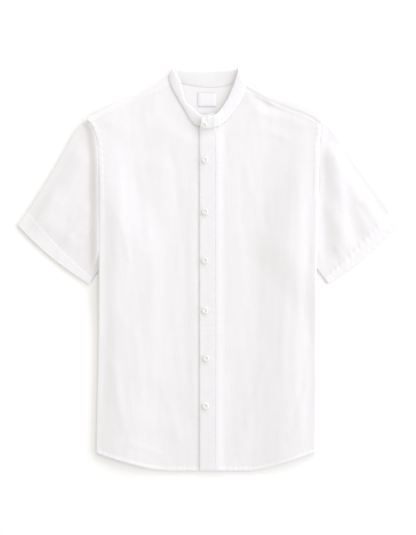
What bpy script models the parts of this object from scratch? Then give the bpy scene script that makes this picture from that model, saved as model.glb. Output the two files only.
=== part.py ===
"""Mandarin collar shirt with short sleeves, laid flat with its front up.

Units: sizes are named in millimetres and written to the meshes in metres.
+X is the wearer's left, +Y runs from hem to collar, +Z is up from the surface.
The origin is under the middle of the shirt, on the surface that it lies on.

Every cloth piece starts as a flat blank, is scored along the lines where it
will bend, gets its thickness, and is then laid by a function that says where
each point of the blank comes to lie.
"""

import math
from collections import namedtuple

import bmesh
import bpy
from mathutils import Vector

MM = 0.001
SHIRT = "mandarin_collar_shirt"

# ---------------------------------------------------------------- cloth
CLOTH = 1.0            # wall of one layer
BAND = 1.6             # wall of the collar band and of the placket, several layers
AIR = 0.3              # kept between pieces that touch
LAYER = CLOTH + AIR    # from one layer to the next
SNAP = 0.25            # a score this close to a corner of an outline runs through it
STEP = 0.4             # half the width of the step at the edge of a raised band

# ---------------------------------------------------------------- body
HEM_Y = -383.5         # lowest point of the curved hem
HEM_CURVE_TOP = -180.0
HEM_BAND = 6.0
HEM_RAISE = 0.4
FOLD_AT = 205.0        # on the blanks, the side fold is this far from the centre
SPREAD_FROM = 60.0     # from here outwards the blank follows the laid edge
SIDE_SEAM_AT = 250.0   # on the blanks, where front and back are joined at the side
UNDERARM_Y = 50.0
ARMHOLE_TURN_Y = 131.0     # below this the armhole runs round the side fold
BACK_YOKE_Y = 258.0        # seam between back and yoke

FRONT_ROLL = 2.25                   # middle radius of the front's side fold
BACK_ROLL = FRONT_ROLL - LAYER      # the back turns inside it
BACK_LEVEL = CLOTH / 2              # middle of the back, over the surface
FRONT_LEVEL = BACK_LEVEL + LAYER
STRIP_LIFT = 2 * FRONT_ROLL - LAYER        # two turned-under layers below the body
SOFT_LIFT = 0.6                            # front over back beside an edge
ROLL_TOP_Y = 262.0                         # the armhole edge rolls down below this
ROLL_HALF_Y = 249.0
ROLL_FULL_Y = 235.0
ARMHOLE_RISE_Y = 150.0                     # from here up the armhole edge runs straight
STRIP_END = 168.0                          # the turned-under layers reach in to here

# ---------------------------------------------------------------- sleeves
SLEEVE_AIR = 0.6                    # inside a flat sleeve
SLEEVE_ROLL = (CLOTH + SLEEVE_AIR) / 2
SLEEVE_LEVEL = CLOTH / 2 + 2 * SLEEVE_ROLL
SLEEVE_LIFT = 2 * CLOTH + SLEEVE_AIR + AIR  # the body lies this much higher over a sleeve
SLEEVE_WIDTH = 180.0                # of the blank, for one layer
SLEEVE_LENGTH = 236.0
UNDERARM_ROLL = SLEEVE_LEVEL - CLOTH / 2
UNDERARM_TURN = UNDERARM_ROLL * math.pi / 2
SLEEVE_FOLD_TURN = SLEEVE_ROLL * math.pi
UNDER_REACH = 0.6                   # the lower layer ends this far past the underarm's turn
CUFF_HEM = 28.0
CUFF_RAISE = 0.5

# The body is raised over what lies below it, with this much room beyond its rim.
LIFT_MARGIN = 13.0
LIFT_RAMP = 36.0

# ---------------------------------------------------------------- centre front
PLACKET_FROM_X = -16.2
PLACKET_TO_X = 14.8
PLACKET_TOP_Y = 266.6
BUTTON_STAND_X = 13.0      # the under front reaches this far
JOIN_RAMP = 18.0           # the upper front climbs to the placket over this width

# ---------------------------------------------------------------- yoke
FLAP_WALL = 1.4            # wall of the yoke's front flap, seam allowances inside
YOKE_ROLL = 0.95           # middle radius of the shoulder fold
FLAP_RAMP = 4.0            # the flap gains its extra wall over this depth
SHOULDER_SLOPE = math.radians(27.0)

# ---------------------------------------------------------------- small pieces
BUTTON_DIAMETER = 11.4
BUTTON_HEIGHT = 2.6
LABEL_WIDTH = 34.0
LABEL_HEIGHT = 27.5
LABEL_CENTRE = (-1.9, 322.8)

Side = namedtuple("Side", "name sign edge hem shoulder flap seam_neck fold cuff cap")

# Tables of the laid outline. Distances across are from the centre, without sign.
# edge: y, distance      hem: distance on the blank, rise above HEM_Y
# shoulder: distance, y  flap: distance, depth of the yoke's front flap
# seam_neck: y, distance of the neck seam from the shoulder down to the centre
# fold: distance, y down the sleeve's folded edge   cuff: inner corner and bulge
LEFT = Side(
    name="left", sign=1,
    edge=((-349, 205.0), (-249, 206.0), (-59, 207.0), (-5, 206.5), (55, 207.5), (112, 209.0),
          (169, 211.0), (226, 212.0), (268, 213.0), (292, 215.0)),
    hem=((84, 0.0), (119, 7.0), (166, 21.5), (204, 34.2), (255, 48.0)),
    shoulder=((60, 369.0), (76, 360.3), (102.6, 345.1), (117.8, 336.6), (136.8, 326.9),
              (155.8, 319.5), (174.8, 312.8), (193.8, 305.2), (205.2, 298.6), (214, 291.5)),
    flap=((70, 18.5), (110, 17.5), (137, 14.5), (214, 16.5)),
    seam_neck=((267.6, 0.0), (271, 13.3), (276.9, 29.5), (296.9, 45.6), (310.9, 57.0),
               (326.1, 64.8), (342.7, 71.1), (359.4, 74.3)),
    fold=((205.0, 297.0), (212.8, 291.5), (222.3, 283.4), (241.3, 256.8), (269.8, 216.9),
          (307.8, 163.7), (336.3, 124.7), (363.0, 84.8)),
    cuff=((228.0, -28.0), 6.0),
    cap=(168.0, UNDERARM_Y),
)
RIGHT = Side(
    name="right", sign=-1,
    edge=((-347, 214.0), (-249, 212.0), (-154, 210.0), (-59, 209.0), (74, 208.0), (188, 209.0),
          (226, 211.0), (251, 213.0), (268, 217.0), (283, 228.0)),
    hem=((62, 0.0), (82, 0.6), (108, 4.0), (139, 11.8), (180, 24.3), (212, 36.0), (255, 50.0)),
    shoulder=((60, 381.0), (76, 371.5), (84, 365.2), (96, 356.5), (110.2, 348.0),
              (138.7, 333.9), (167.2, 320.4), (186.2, 310.9), (205.2, 301.0), (220.4, 292.7),
              (234, 284.3)),
    flap=((70, 26.8), (84, 23.4), (96, 20.3), (110, 18.5), (140, 15.5), (220, 13.5)),
    seam_neck=((267.6, 0.0), (268.5, 16.0), (273.9, 27.0), (300.7, 43.5), (327.5, 58.7),
               (346.1, 68.4), (365.0, 74.3)),
    fold=((220.0, 291.0), (233.7, 284.3), (243.2, 275.8), (252.7, 264.4), (263.2, 245.4),
          (284.1, 207.4), (306.9, 169.4), (343.0, 112.4), (363.0, 84.8)),
    cuff=((226.0, -28.0), 7.0),
    cap=(168.0, UNDERARM_Y),
)
SIDES = (LEFT, RIGHT)


def smooth(value, start, end):
    """0 at start, 1 at end, with a soft run between; start may be the larger."""
    t = (value - start) / (end - start)
    t = min(1.0, max(0.0, t))
    return t * t * (3 - 2 * t)


def read(table, at):
    """The value of a two-column table at one place, on a smooth curve through its rows."""
    if at <= table[0][0]:
        return table[0][1]
    if at >= table[-1][0]:
        return table[-1][1]
    last = len(table) - 1
    row = next(i for i in range(last) if table[i + 1][0] >= at)
    (x0, y0), (x1, y1) = table[row], table[row + 1]
    before = table[max(row - 1, 0)]
    after = table[min(row + 2, last)]
    span = x1 - x0
    slope0 = (y1 - before[1]) / (x1 - before[0])
    slope1 = (after[1] - y0) / (after[0] - x0)
    t = (at - x0) / span
    return ((2 * t**3 - 3 * t**2 + 1) * y0 + (t**3 - 2 * t**2 + t) * span * slope0
            + (3 * t**2 - 2 * t**3) * y1 + (t**3 - t**2) * span * slope1)


# ---------------------------------------------------------------- where the body lies

# The sleeve's hidden inner end: y, distance from the centre.
SLEEVE_END = ((UNDERARM_Y, STRIP_END), (112, 178.0), (169, 186.0), (226, 197.0), (251, 204.0),
              (291, 219.0))
# The armhole where it runs round the side fold: distance on the front's blank, y.
ARMHOLE = ((250.0, UNDERARM_Y), (239.0, 62.0), (227.0, 82.0), (218.0, 105.0),
           (212.0, ARMHOLE_TURN_Y))
# Rims of what lies below the body: distance, y at both ends, with the rest on the left.
SLEEVE_UNDERARM = ((STRIP_END, UNDERARM_Y), (227.0, -28.0))
STRIP_TOP = ((204.0, 120.0), (STRIP_END, UNDERARM_Y))

# Soft folds of the front: from x, from y, to x, to y, half width, height
FOLDS = (
    (-92, 190, -100, -200, 27, 1.6),
    (-188, 110, -186, -240, 20, 1.2),
    (-30, 150, -26, -270, 13, 0.8),
    (42, 230, 46, -150, 20, 1.2),
    (178, 180, 172, -250, 22, 1.5),
    (-150, 230, -142, -90, 20, -0.8),
    (126, 200, 130, -130, 22, -0.8),
    (-120, 285, -150, 262, 18, 0.7),
    (60, 262, 92, 276, 16, 0.8),
    (84, 334, 108, 314, 11, -0.9),
    (108, 314, 146, 302, 10, -0.5),
    (120, -240, 60, -330, 24, 0.7),
    (-70, -300, -160, -280, 22, 0.6),
)
SPARE_AIR = 0.9        # between front and back, away from every edge
NECK_CENTRE = (0.0, 335.0)
NECK_HALF = (74.0, 68.0)
# The soft folds rise between these distances inside each edge.
EDGE_FADE = (5.0, 42.0)
SHOULDER_FADE = (4.0, 42.0)
NECK_FADE = (4.0, 34.0)
# The extra layers along an edge lift the front until between these distances inside it.
EDGE_SOFT = (8.0, 36.0)
SHOULDER_SOFT = (26.0, 56.0)


def edge_x(side, y):
    """How far the body's outer edge lies from the centre."""
    return read(side.edge, y)


def roll_angle(y):
    """How far the armhole edge of the front is rolled down, from 0 to a quarter turn."""
    return math.pi / 2 * smooth(y, ROLL_TOP_Y, ROLL_FULL_Y)


def fold_x(side, y):
    """Where the flat of the body ends and its side fold begins."""
    return edge_x(side, y) - (FRONT_ROLL + CLOTH / 2) * math.sin(roll_angle(y))


def laid_x(side, across, y):
    return across + (fold_x(side, y) - FOLD_AT) * smooth(across, SPREAD_FROM, FOLD_AT)


def blank_x(side, x, y):
    """The place on the blank that is laid at x."""
    across = x
    for _ in range(30):
        across += x - laid_x(side, across, y)
    return across


def laid_y(side, across, along):
    rise = read(side.hem, across)
    return along + rise * smooth(along, HEM_CURVE_TOP, HEM_Y)


def right_of(x, y, line):
    """How far a place lies to the right of a line, seen from its start."""
    start, end = line
    run = (Vector(end) - Vector(start)).normalized()
    return (x - start[0]) * run.y - (y - start[1]) * run.x


def sleeve_lift(x, y):
    """How far the sleeve below raises the body at a place; x is a distance."""
    away = max(read(SLEEVE_END, y) - x, right_of(x, y, SLEEVE_UNDERARM))
    return SLEEVE_LIFT * (1 - smooth(away, LIFT_MARGIN, LIFT_MARGIN + LIFT_RAMP))


def strip_share(x, y):
    """1 over the turned-under sides, 0 away from them."""
    away = max(STRIP_END - x, right_of(x, y, STRIP_TOP))
    return 1 - smooth(away, LIFT_MARGIN, LIFT_MARGIN + LIFT_RAMP)


def back_level(x, y):
    return BACK_LEVEL + sleeve_lift(x, y) + STRIP_LIFT * strip_share(x, y)


def segment_distance(x, y, x0, y0, x1, y1):
    along = Vector((x1 - x0, y1 - y0))
    to_point = Vector((x - x0, y - y0))
    t = min(1.0, max(0.0, to_point.dot(along) / along.length_squared))
    return (to_point - along * t).length


def relief(side, x, y):
    """Height of the soft folds, from 0 at the edges of the body."""
    signed = x * side.sign
    height = SPARE_AIR
    for x0, y0, x1, y1, width, rise in FOLDS:
        gap = segment_distance(signed, y, x0, y0, x1, y1)
        height += rise * math.exp(-(gap / width) ** 2)
    from_neck = math.hypot((signed - NECK_CENTRE[0]) / NECK_HALF[0],
                           (y - NECK_CENTRE[1]) / NECK_HALF[1]) - 1
    fade = smooth(edge_x(side, y) - x, *EDGE_FADE)
    fade *= smooth(read(side.shoulder, x) - y, *SHOULDER_FADE)
    fade *= smooth(from_neck * NECK_HALF[1], *NECK_FADE)
    return max(0.0, height) * fade


def front_level(side, x, y):
    """Middle height of the layer that lies on top."""
    near_edge = 1 - smooth(edge_x(side, y) - x, *EDGE_SOFT)
    near_shoulder = 1 - smooth(read(side.shoulder, x) - y, *SHOULDER_SOFT)
    soft = max(near_edge, near_shoulder) * (1 - strip_share(x, y))
    return back_level(x, y) + LAYER + SOFT_LIFT * soft + relief(side, x, y)


def lay_body(side, roll, level, wall_raise, join=0.0):
    """Lay a front or the back on one side: flat, round the side fold, and back below."""
    turn_end = FOLD_AT + math.pi * roll

    def lay(across, along, face):
        y = laid_y(side, across, along)
        off = (face - 0.5) * CLOTH + face * wall_raise(across, along, y)
        start = fold_x(side, y)
        if across <= FOLD_AT:
            x = laid_x(side, across, y)
            z = level(side, x, y) + off
            z += join * smooth(across, PLACKET_TO_X + AIR + JOIN_RAMP, PLACKET_TO_X + AIR)
        elif across <= turn_end:
            turn = (across - FOLD_AT) / roll
            x = start + (roll + off) * math.sin(turn)
            z = level(side, start, y) - roll + (roll + off) * math.cos(turn)
        else:
            x = start - (across - turn_end)
            under = level(side, start, y) - 2 * roll - sleeve_lift(start, y)
            z = under + sleeve_lift(x, y) - off
        return Vector((side.sign * x, y, z))

    return lay


# ---------------------------------------------------------------- making cloth

def material(name, colour, roughness):
    made = bpy.data.materials.new(name)
    made.use_nodes = True
    shader = made.node_tree.nodes["Principled BSDF"]
    shader.inputs["Base Color"].default_value = (*colour, 1.0)
    shader.inputs["Roughness"].default_value = roughness
    shader.inputs["Metallic"].default_value = 0.0
    return made


def blank(outline, columns, rows):
    """A flat closed slab with the outline, scored along columns and rows.

    Its lower face has z = 0 and its upper face z = 1.
    """
    flat = bmesh.new()
    flat.faces.new([flat.verts.new((x, y, 0.0)) for x, y in outline])
    scores = [((x, 0, 0), (1, 0, 0)) for x in columns]
    scores += [((0, y, 0), (0, 1, 0)) for y in rows]
    for place, normal in scores:
        everything = flat.verts[:] + flat.edges[:] + flat.faces[:]
        bmesh.ops.bisect_plane(flat, geom=everything, dist=SNAP, plane_co=place,
                               plane_no=normal)
    for face in [f for f in flat.faces if len(f.verts) == 4]:
        reach = [abs(v.co.x) + v.co.y for v in face.verts]
        first = 0 if abs(reach[0] - reach[2]) > abs(reach[1] - reach[3]) else 1
        bmesh.utils.face_split(face, face.verts[first], face.verts[first + 2])
    bmesh.ops.triangulate(flat, faces=[f for f in flat.faces if len(f.verts) > 3])
    lower = flat.faces[:]
    raised = bmesh.ops.extrude_face_region(flat, geom=lower, use_keep_orig=True)
    for item in raised["geom"]:
        if isinstance(item, bmesh.types.BMVert):
            item.co.z = 1.0
    return flat


def make_cloth(name, outline, columns, rows, lay, look):
    slab = blank(outline, columns, rows)
    for corner in slab.verts:
        corner.co = lay(corner.co.x, corner.co.y, corner.co.z) * MM
    bmesh.ops.triangulate(slab, faces=slab.faces[:])
    if slab.calc_volume(signed=True) < 0:
        bmesh.ops.reverse_faces(slab, faces=slab.faces[:])
    mesh = bpy.data.meshes.new(name)
    slab.to_mesh(mesh)
    slab.free()
    mesh.shade_smooth()
    mesh.set_sharp_from_angle(angle=math.radians(40))
    piece = bpy.data.objects.new(name, mesh)
    piece.data.materials.append(look)
    bpy.data.collections[SHIRT].objects.link(piece)
    return piece


def turns(start, length, count):
    return [start + length * i / count for i in range(count + 1)]


# ---------------------------------------------------------------- fronts and back

SIDE_COLUMNS = (118, 130, 142, 154, 166, 179, 192)     # shared by front and back
FRONT_COLUMNS = (0, 16.7, 32, 52, 74, 96)
STRIP_COLUMNS = (12, 25)                               # beyond the side fold's turn
BODY_ROWS = (HEM_Y + HEM_BAND - STEP, HEM_Y + HEM_BAND + STEP, -350, -300, -250, -200, -150,
             -112, -88, -64, -42, -20, 2, 26, UNDERARM_Y, 78, 104, ARMHOLE_TURN_Y, 156, 182,
             208, ROLL_FULL_Y, ROLL_HALF_Y, ROLL_TOP_Y, 290, 316)
SIDE_TURNS = 4                                         # flats round a side fold
FELL_WIDTH = 6.2       # the felled armhole seam beside the front's edge
FELL_RAISE = 0.35
NECK_TUCK = 2.5        # the collar band covers this much of the fronts' neck edge


def toward_neck(x, y, by):
    shift = Vector((NECK_CENTRE[0] - x, NECK_CENTRE[1] - y)).normalized() * by
    return x + shift.x, y + shift.y


def flap_edge_y(side, x):
    return read(side.shoulder, x) - read(side.flap, x)


def yoke_corner(side):
    """Where the front's neck edge meets the yoke's flap."""
    y = side.seam_neck[-1][0]
    while y > flap_edge_y(side, read(side.seam_neck, y)):
        y -= 0.25
    return read(side.seam_neck, y), y


def front_top_y(side):
    """Where the front's armhole edge meets the yoke's flap."""
    y = ROLL_TOP_Y
    for _ in range(6):
        y = flap_edge_y(side, edge_x(side, y)) - AIR
    return y


def seam_stations(side):
    """Places along the seam of front and flap, from the armhole towards the neck."""
    outer = edge_x(side, front_top_y(side))
    near_edge = [outer, outer - 3, outer - 7, outer - 12]
    return near_edge + turns(outer - 18, 84 - (outer - 18), 7)


def front_raise(across, along, _y):
    """The hem band and the felled armhole seam stand up from the outer face."""
    in_hem = along < HEM_Y + HEM_BAND
    hem = HEM_RAISE if in_hem and -PLACKET_FROM_X + 1 < across < FOLD_AT - 1 else 0.0
    in_fell = FOLD_AT - FELL_WIDTH < across
    felled = FELL_RAISE if in_fell and along > ARMHOLE_TURN_Y + 1 else 0.0
    return hem + felled


def front_outline(side, inner):
    quarter = FOLD_AT + FRONT_ROLL * math.pi / 2
    points = [(inner, HEM_Y), (SIDE_SEAM_AT, HEM_Y)]
    points += ARMHOLE
    points += [(quarter, ARMHOLE_RISE_Y), (quarter, ROLL_FULL_Y),
               (FOLD_AT + FRONT_ROLL, ROLL_HALF_Y), (FOLD_AT + AIR, ROLL_TOP_Y),
               (FOLD_AT + AIR, front_top_y(side))]
    corner = yoke_corner(side)
    for x in seam_stations(side)[1:]:
        y = flap_edge_y(side, x) - AIR
        points.append((blank_x(side, x, y), y))
    neck = [(x, y) for y, x in side.seam_neck if y < corner[1] - 6 and x > inner + 4]
    for x, y in [(corner[0], corner[1] - AIR)] + neck[::-1]:
        x, y = toward_neck(x, y, NECK_TUCK)
        points.append((x, y if x < SPREAD_FROM else min(y, flap_edge_y(side, x) - AIR)))
    x, y = toward_neck(max(inner, 0), read([(x, y) for y, x in side.seam_neck], max(inner, 0)),
                       NECK_TUCK)
    points.append((inner, y))
    return points


def make_front(side, name, inner, join, look):
    lay = lay_body(side, FRONT_ROLL, front_level, front_raise, join)
    columns = [c for c in FRONT_COLUMNS + SIDE_COLUMNS if c > inner + 4]
    columns += (FOLD_AT - FELL_WIDTH - STEP, FOLD_AT - FELL_WIDTH + STEP)
    columns += turns(FOLD_AT, math.pi * FRONT_ROLL, SIDE_TURNS)
    columns += [FOLD_AT + math.pi * FRONT_ROLL + c for c in STRIP_COLUMNS]
    return make_cloth(name, front_outline(side, inner), columns, BODY_ROWS, lay, look)


def make_back(look):
    """One panel; its blank has the left side at positive distances."""
    lays = {side.sign: lay_body(side, BACK_ROLL, lambda _s, x, y: back_level(x, y),
                                lambda _a, _b, _c: 0.0) for side in SIDES}

    def lay(across, along, face):
        sign = 1 if across >= 0 else -1
        return lays[sign](abs(across), along, face)

    shorter = math.pi * LAYER      # the back turns inside the front at the side fold
    half = [(SIDE_SEAM_AT - shorter, HEM_Y), (SIDE_SEAM_AT - shorter, UNDERARM_Y)]
    half += [(across - shorter, y) for across, y in ARMHOLE[1:-1]]
    half += [(FOLD_AT + 1.5, ARMHOLE_TURN_Y), (FOLD_AT, ARMHOLE_RISE_Y),
             (FOLD_AT, BACK_YOKE_Y - AIR)]
    outline = half + [(-across, y) for across, y in reversed(half)]
    side_columns = [60] + list(SIDE_COLUMNS) + turns(FOLD_AT, math.pi * BACK_ROLL, SIDE_TURNS)
    side_columns += [FOLD_AT + math.pi * BACK_ROLL + c for c in STRIP_COLUMNS]
    columns = [0.0] + [sign * c for c in side_columns for sign in (1, -1)]
    rows = [y for y in BODY_ROWS if y > -360 and y < BACK_YOKE_Y - 4]
    return make_cloth("back", outline, columns, rows, lay, look)


def make_placket(look):
    def lay(x, y, face):
        side = LEFT if x >= 0 else RIGHT
        under = front_level(side, abs(x), y) + CLOTH / 2 + AIR
        return Vector((x, y, under + face * BAND))

    outline = ((PLACKET_FROM_X, HEM_Y), (PLACKET_TO_X, HEM_Y), (PLACKET_TO_X, PLACKET_TOP_Y),
               (PLACKET_FROM_X, PLACKET_TOP_Y))
    return make_cloth("placket", outline, (0.0,), BODY_ROWS, lay, look)


# ---------------------------------------------------------------- yoke and label

# Neck edge of the yoke at the back, from the wearer's right to left: x, y.
BACK_NECK = ((-76.2, 363.6), (-62, 355.6), (-45, 351.0), (-22, 346.4), (0, 344.2), (20, 344.8),
             (45, 350.2), (60, 353.4), (76.0, 358.0))
YOKE_COLUMNS = (16, 32, 48, 90, 108, 126, 144, 160, 174, 186, 197, 206)
YOKE_ROWS = (-14, -30, -50, -78)           # back from the shoulder fold


def yoke_fold_y(x):
    """Where the shoulder folds begin; between the two necks it runs straight across."""
    reach = YOKE_ROLL + CLOTH / 2
    if abs(x) >= SPREAD_FROM:
        side = LEFT if x > 0 else RIGHT
        return read(side.shoulder, abs(x)) - reach / math.cos(SHOULDER_SLOPE)
    share = smooth(x, -SPREAD_FROM, SPREAD_FROM)
    return (1 - share) * yoke_fold_y(-SPREAD_FROM) + share * yoke_fold_y(SPREAD_FROM)


def lay_yoke(x, beyond, face):
    """beyond is counted from the shoulder fold, less than 0 on the back part."""
    side = LEFT if x > 0 else RIGHT
    fold_y = yoke_fold_y(x)
    off = (face - 0.5) * CLOTH
    half_turn = math.pi * YOKE_ROLL
    if beyond <= 0:
        y = fold_y + beyond
        return Vector((x, y, back_level(abs(x), y) + off))
    if beyond < half_turn:
        turn = beyond / YOKE_ROLL
        y = fold_y + (YOKE_ROLL - off) * math.sin(turn) / math.cos(SHOULDER_SLOPE)
        z = back_level(abs(x), fold_y) + YOKE_ROLL - (YOKE_ROLL - off) * math.cos(turn)
        return Vector((x, y, z))
    y = fold_y - (beyond - half_turn)
    raised = (FLAP_WALL - CLOTH) * (1 - face) * smooth(beyond - half_turn, 0.0, FLAP_RAMP)
    z = back_level(abs(x), y) + 2 * YOKE_ROLL - off + raised + relief(side, abs(x), y)
    return Vector((x, y, z))


def yoke_half(side):
    """One side of the yoke's outline, from the back seam round to the back neck."""
    half_turn = math.pi * YOKE_ROLL
    points = [(x, BACK_YOKE_Y) for x in YOKE_COLUMNS]
    points += [(edge_x(side, y), y) for y in (BACK_YOKE_Y, 265, 272, 279)]
    flat = [(x, y - yoke_fold_y(side.sign * x)) for x, y in points]
    top_x = side.edge[-1][1]
    flat.append((top_x, 0.0))
    flat.append((top_x, half_turn))
    corner = yoke_corner(side)
    for x in seam_stations(side) + [corner[0] - NECK_TUCK]:
        depth = yoke_fold_y(side.sign * x) - flap_edge_y(side, x)
        flat.append((x, half_turn + depth))
    end_x = abs(BACK_NECK[-1][0] if side.sign > 0 else BACK_NECK[0][0])
    flat.append((end_x - 1.0, half_turn + 6.0))
    flat.append((end_x, half_turn))
    flat.append((end_x, 0.0))
    return [(side.sign * x, beyond) for x, beyond in flat]


def make_yoke(look):
    outline = yoke_half(LEFT)
    outline += [(x, y - yoke_fold_y(x)) for x, y in reversed(BACK_NECK)]
    outline += list(reversed(yoke_half(RIGHT)))
    columns = [sign * c for c in YOKE_COLUMNS for sign in (1, -1)]
    rows = turns(0.0, math.pi * YOKE_ROLL, 4) + [math.pi * YOKE_ROLL + FLAP_RAMP]
    rows += YOKE_ROWS
    return make_cloth("yoke", outline, columns, rows, lay_yoke, look)


def make_label(look):
    x, y = LABEL_CENTRE
    half_x = LABEL_WIDTH / 2
    half_y = LABEL_HEIGHT / 2
    outline = ((x - half_x, y - half_y), (x + half_x, y - half_y),
               (x + half_x, y + half_y), (x - half_x, y + half_y))

    def lay(px, py, face):
        return Vector((px, py, CLOTH + AIR + face * CLOTH))

    return make_cloth("label", outline, (), (), lay, look)


# ---------------------------------------------------------------- sleeves

SLEEVE_ROWS = (14, 32, 54, 78, 102, 126, 152, 180, SLEEVE_LENGTH - CUFF_HEM - STEP,
               SLEEVE_LENGTH - CUFF_HEM + STEP, 222)
SLEEVE_COLUMNS = (15, 35, 58, 82, 106, 130, 152, 168)      # on the upper layer
SLEEVE_UNDER_COLUMNS = (30, 60, 90, 120, 150)
# Soft folds of the sleeves: distance, y to distance, y, half width, height.
SLEEVE_FOLDS = (
    (240, 205, 300, 90, 24, 2.4),
    (232, 110, 262, 60, 18, 1.6),
    (300, 130, 330, 92, 20, 1.6),
)


def along_fold(side, share):
    """A point of the sleeve's folded edge, at a share of its length."""
    lengths = [0.0]
    for (x0, y0), (x1, y1) in zip(side.fold, side.fold[1:]):
        lengths.append(lengths[-1] + math.hypot(x1 - x0, y1 - y0))
    at = share * lengths[-1]
    x = read([(s, row[0]) for s, row in zip(lengths, side.fold)], at)
    y = read([(s, row[1]) for s, row in zip(lengths, side.fold)], at)
    return Vector((x, y))


def sleeve_relief(side, x, y, from_fold, from_underarm):
    height = 0.0
    for x0, y0, x1, y1, width, rise in SLEEVE_FOLDS:
        gap = segment_distance(x, y, x0, y0, x1, y1)
        height += rise * math.exp(-(gap / width) ** 2)
    fade = smooth(from_fold, 3, 30) * smooth(from_underarm, 3, 30)
    return height * fade * smooth(x - edge_x(side, y), 5, 26)


def lay_sleeve(side):
    """The blank runs from the underarm over the top to the fold, and back below."""
    cap = Vector(side.cap)
    inner_hem = Vector(side.cuff[0])
    top_end = UNDERARM_TURN + SLEEVE_WIDTH
    fold_end = top_end + SLEEVE_FOLD_TURN

    def lay(across, along, face):
        share = along / SLEEVE_LENGTH
        nose = along_fold(side, share)
        underarm = cap.lerp(inner_hem, share)
        chord = underarm - nose
        length = chord.length
        chord.normalize()
        out = Vector((chord.y, -chord.x))
        if out.y > 0:
            out = -out
        in_cuff = along > SLEEVE_LENGTH - CUFF_HEM
        raised = CUFF_RAISE * face if in_cuff and across < top_end else 0.0
        off = (face - 0.5) * CLOTH + raised
        first = SLEEVE_ROLL + CLOTH / 2
        last = length - UNDERARM_ROLL - CLOTH / 2
        if across < UNDERARM_TURN:
            turn = math.pi / 2 - across / UNDERARM_ROLL
            from_nose = last + (UNDERARM_ROLL + off) * math.sin(turn)
            z = SLEEVE_LEVEL - UNDERARM_ROLL + (UNDERARM_ROLL + off) * math.cos(turn)
        elif across <= top_end:
            from_nose = last + (first - last) * (across - UNDERARM_TURN) / SLEEVE_WIDTH
            z = SLEEVE_LEVEL + off
        elif across < fold_end:
            turn = (across - top_end) / SLEEVE_ROLL
            from_nose = first - (SLEEVE_ROLL + off) * math.sin(turn)
            z = CLOTH / 2 + SLEEVE_ROLL + (SLEEVE_ROLL + off) * math.cos(turn)
        else:
            end = last + UNDER_REACH
            from_nose = first + (end - first) * (across - fold_end) / SLEEVE_WIDTH
            z = CLOTH / 2 - off
        part = from_nose / length
        bow = side.cuff[1] * share**2 * 4 * part * (1 - part)
        place = nose + chord * from_nose + out * bow
        if UNDERARM_TURN <= across <= top_end:
            z += sleeve_relief(side, place.x, place.y, from_nose, length - from_nose)
        return Vector((side.sign * place.x, place.y, z))

    return lay


def make_sleeve(side, look):
    top_end = UNDERARM_TURN + SLEEVE_WIDTH
    fold_end = top_end + SLEEVE_FOLD_TURN
    width = fold_end + SLEEVE_WIDTH
    outline = ((0, 0), (width, 0), (width, SLEEVE_LENGTH), (0, SLEEVE_LENGTH))
    columns = turns(0.0, UNDERARM_TURN, 3)[1:]
    columns += [UNDERARM_TURN + c for c in SLEEVE_COLUMNS]
    columns += turns(top_end, SLEEVE_FOLD_TURN, 5)
    columns += [fold_end + c for c in SLEEVE_UNDER_COLUMNS]
    return make_cloth("sleeve_" + side.name, outline, columns, SLEEVE_ROWS, lay_sleeve(side),
                      look)


# ---------------------------------------------------------------- collar

# Stations round the collar band, from the upper end at the centre front, round the
# wearer's left, the back and the wearer's right, to the lower end.
# Columns: neck seam x, y, z and top edge x, y, z, in the middle of the band's wall.
COLLAR = (
    (-16.2, 266.4, 5.4, -13.5, 288.0, 9.6),
    (0.0, 267.3, 5.4, 1.0, 290.2, 9.5),
    (15.0, 270.6, 5.0, 15.0, 294.6, 9.3),
    (26.0, 276.2, 4.2, 22.6, 302.4, 9.0),
    (36.5, 285.2, 3.8, 29.5, 311.6, 8.8),
    (47.6, 299.2, 3.8, 38.0, 326.1, 8.6),
    (59.0, 314.6, 3.9, 45.4, 342.4, 8.4),
    (67.6, 333.0, 4.3, 51.4, 359.8, 8.2),
    (72.6, 349.4, 4.4, 55.6, 373.6, 7.8),
    (74.6, 357.2, 3.6, 57.2, 381.4, 7.0),
    (74.2, 359.6, 2.2, 57.0, 383.0, 6.2),
    (71.0, 358.8, 1.0, 54.6, 382.2, 5.2),
    (60.0, 354.9, 0.8, 47.0, 379.6, 4.0),
    (45.0, 351.3, 0.8, 37.0, 378.4, 2.4),
    (20.0, 345.9, 0.8, 17.0, 377.8, 0.8),
    (0.0, 345.3, 0.8, 0.0, 377.8, 0.8),
    (-22.0, 347.5, 0.8, -20.0, 378.0, 2.0),
    (-45.0, 352.1, 0.8, -42.0, 378.6, 4.0),
    (-60.0, 356.2, 0.8, -57.0, 380.6, 5.7),
    (-71.4, 364.8, 1.0, -64.6, 382.4, 7.0),
    (-75.0, 369.6, 2.2, -66.4, 383.0, 8.2),
    (-75.2, 366.6, 3.6, -65.4, 380.8, 8.8),
    (-72.2, 354.0, 4.4, -59.6, 371.8, 9.0),
    (-66.6, 341.0, 4.4, -52.6, 358.0, 9.0),
    (-56.0, 322.8, 4.0, -48.0, 341.4, 9.0),
    (-43.6, 300.8, 3.6, -43.0, 320.2, 8.7),
    (-30.6, 279.8, 3.4, -29.5, 307.4, 7.9),
    (-16.0, 271.6, 3.4, -15.4, 294.4, 7.6),
    (0.0, 270.8, 3.4, -1.0, 293.6, 7.7),
    (13.0, 273.4, 3.2, 12.0, 297.6, 7.4),
)
STATION = 20.0             # of the collar's blank, from one station to the next
COLLAR_WIDTH = 31.0
COLLAR_BULGE = 0.8


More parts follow.
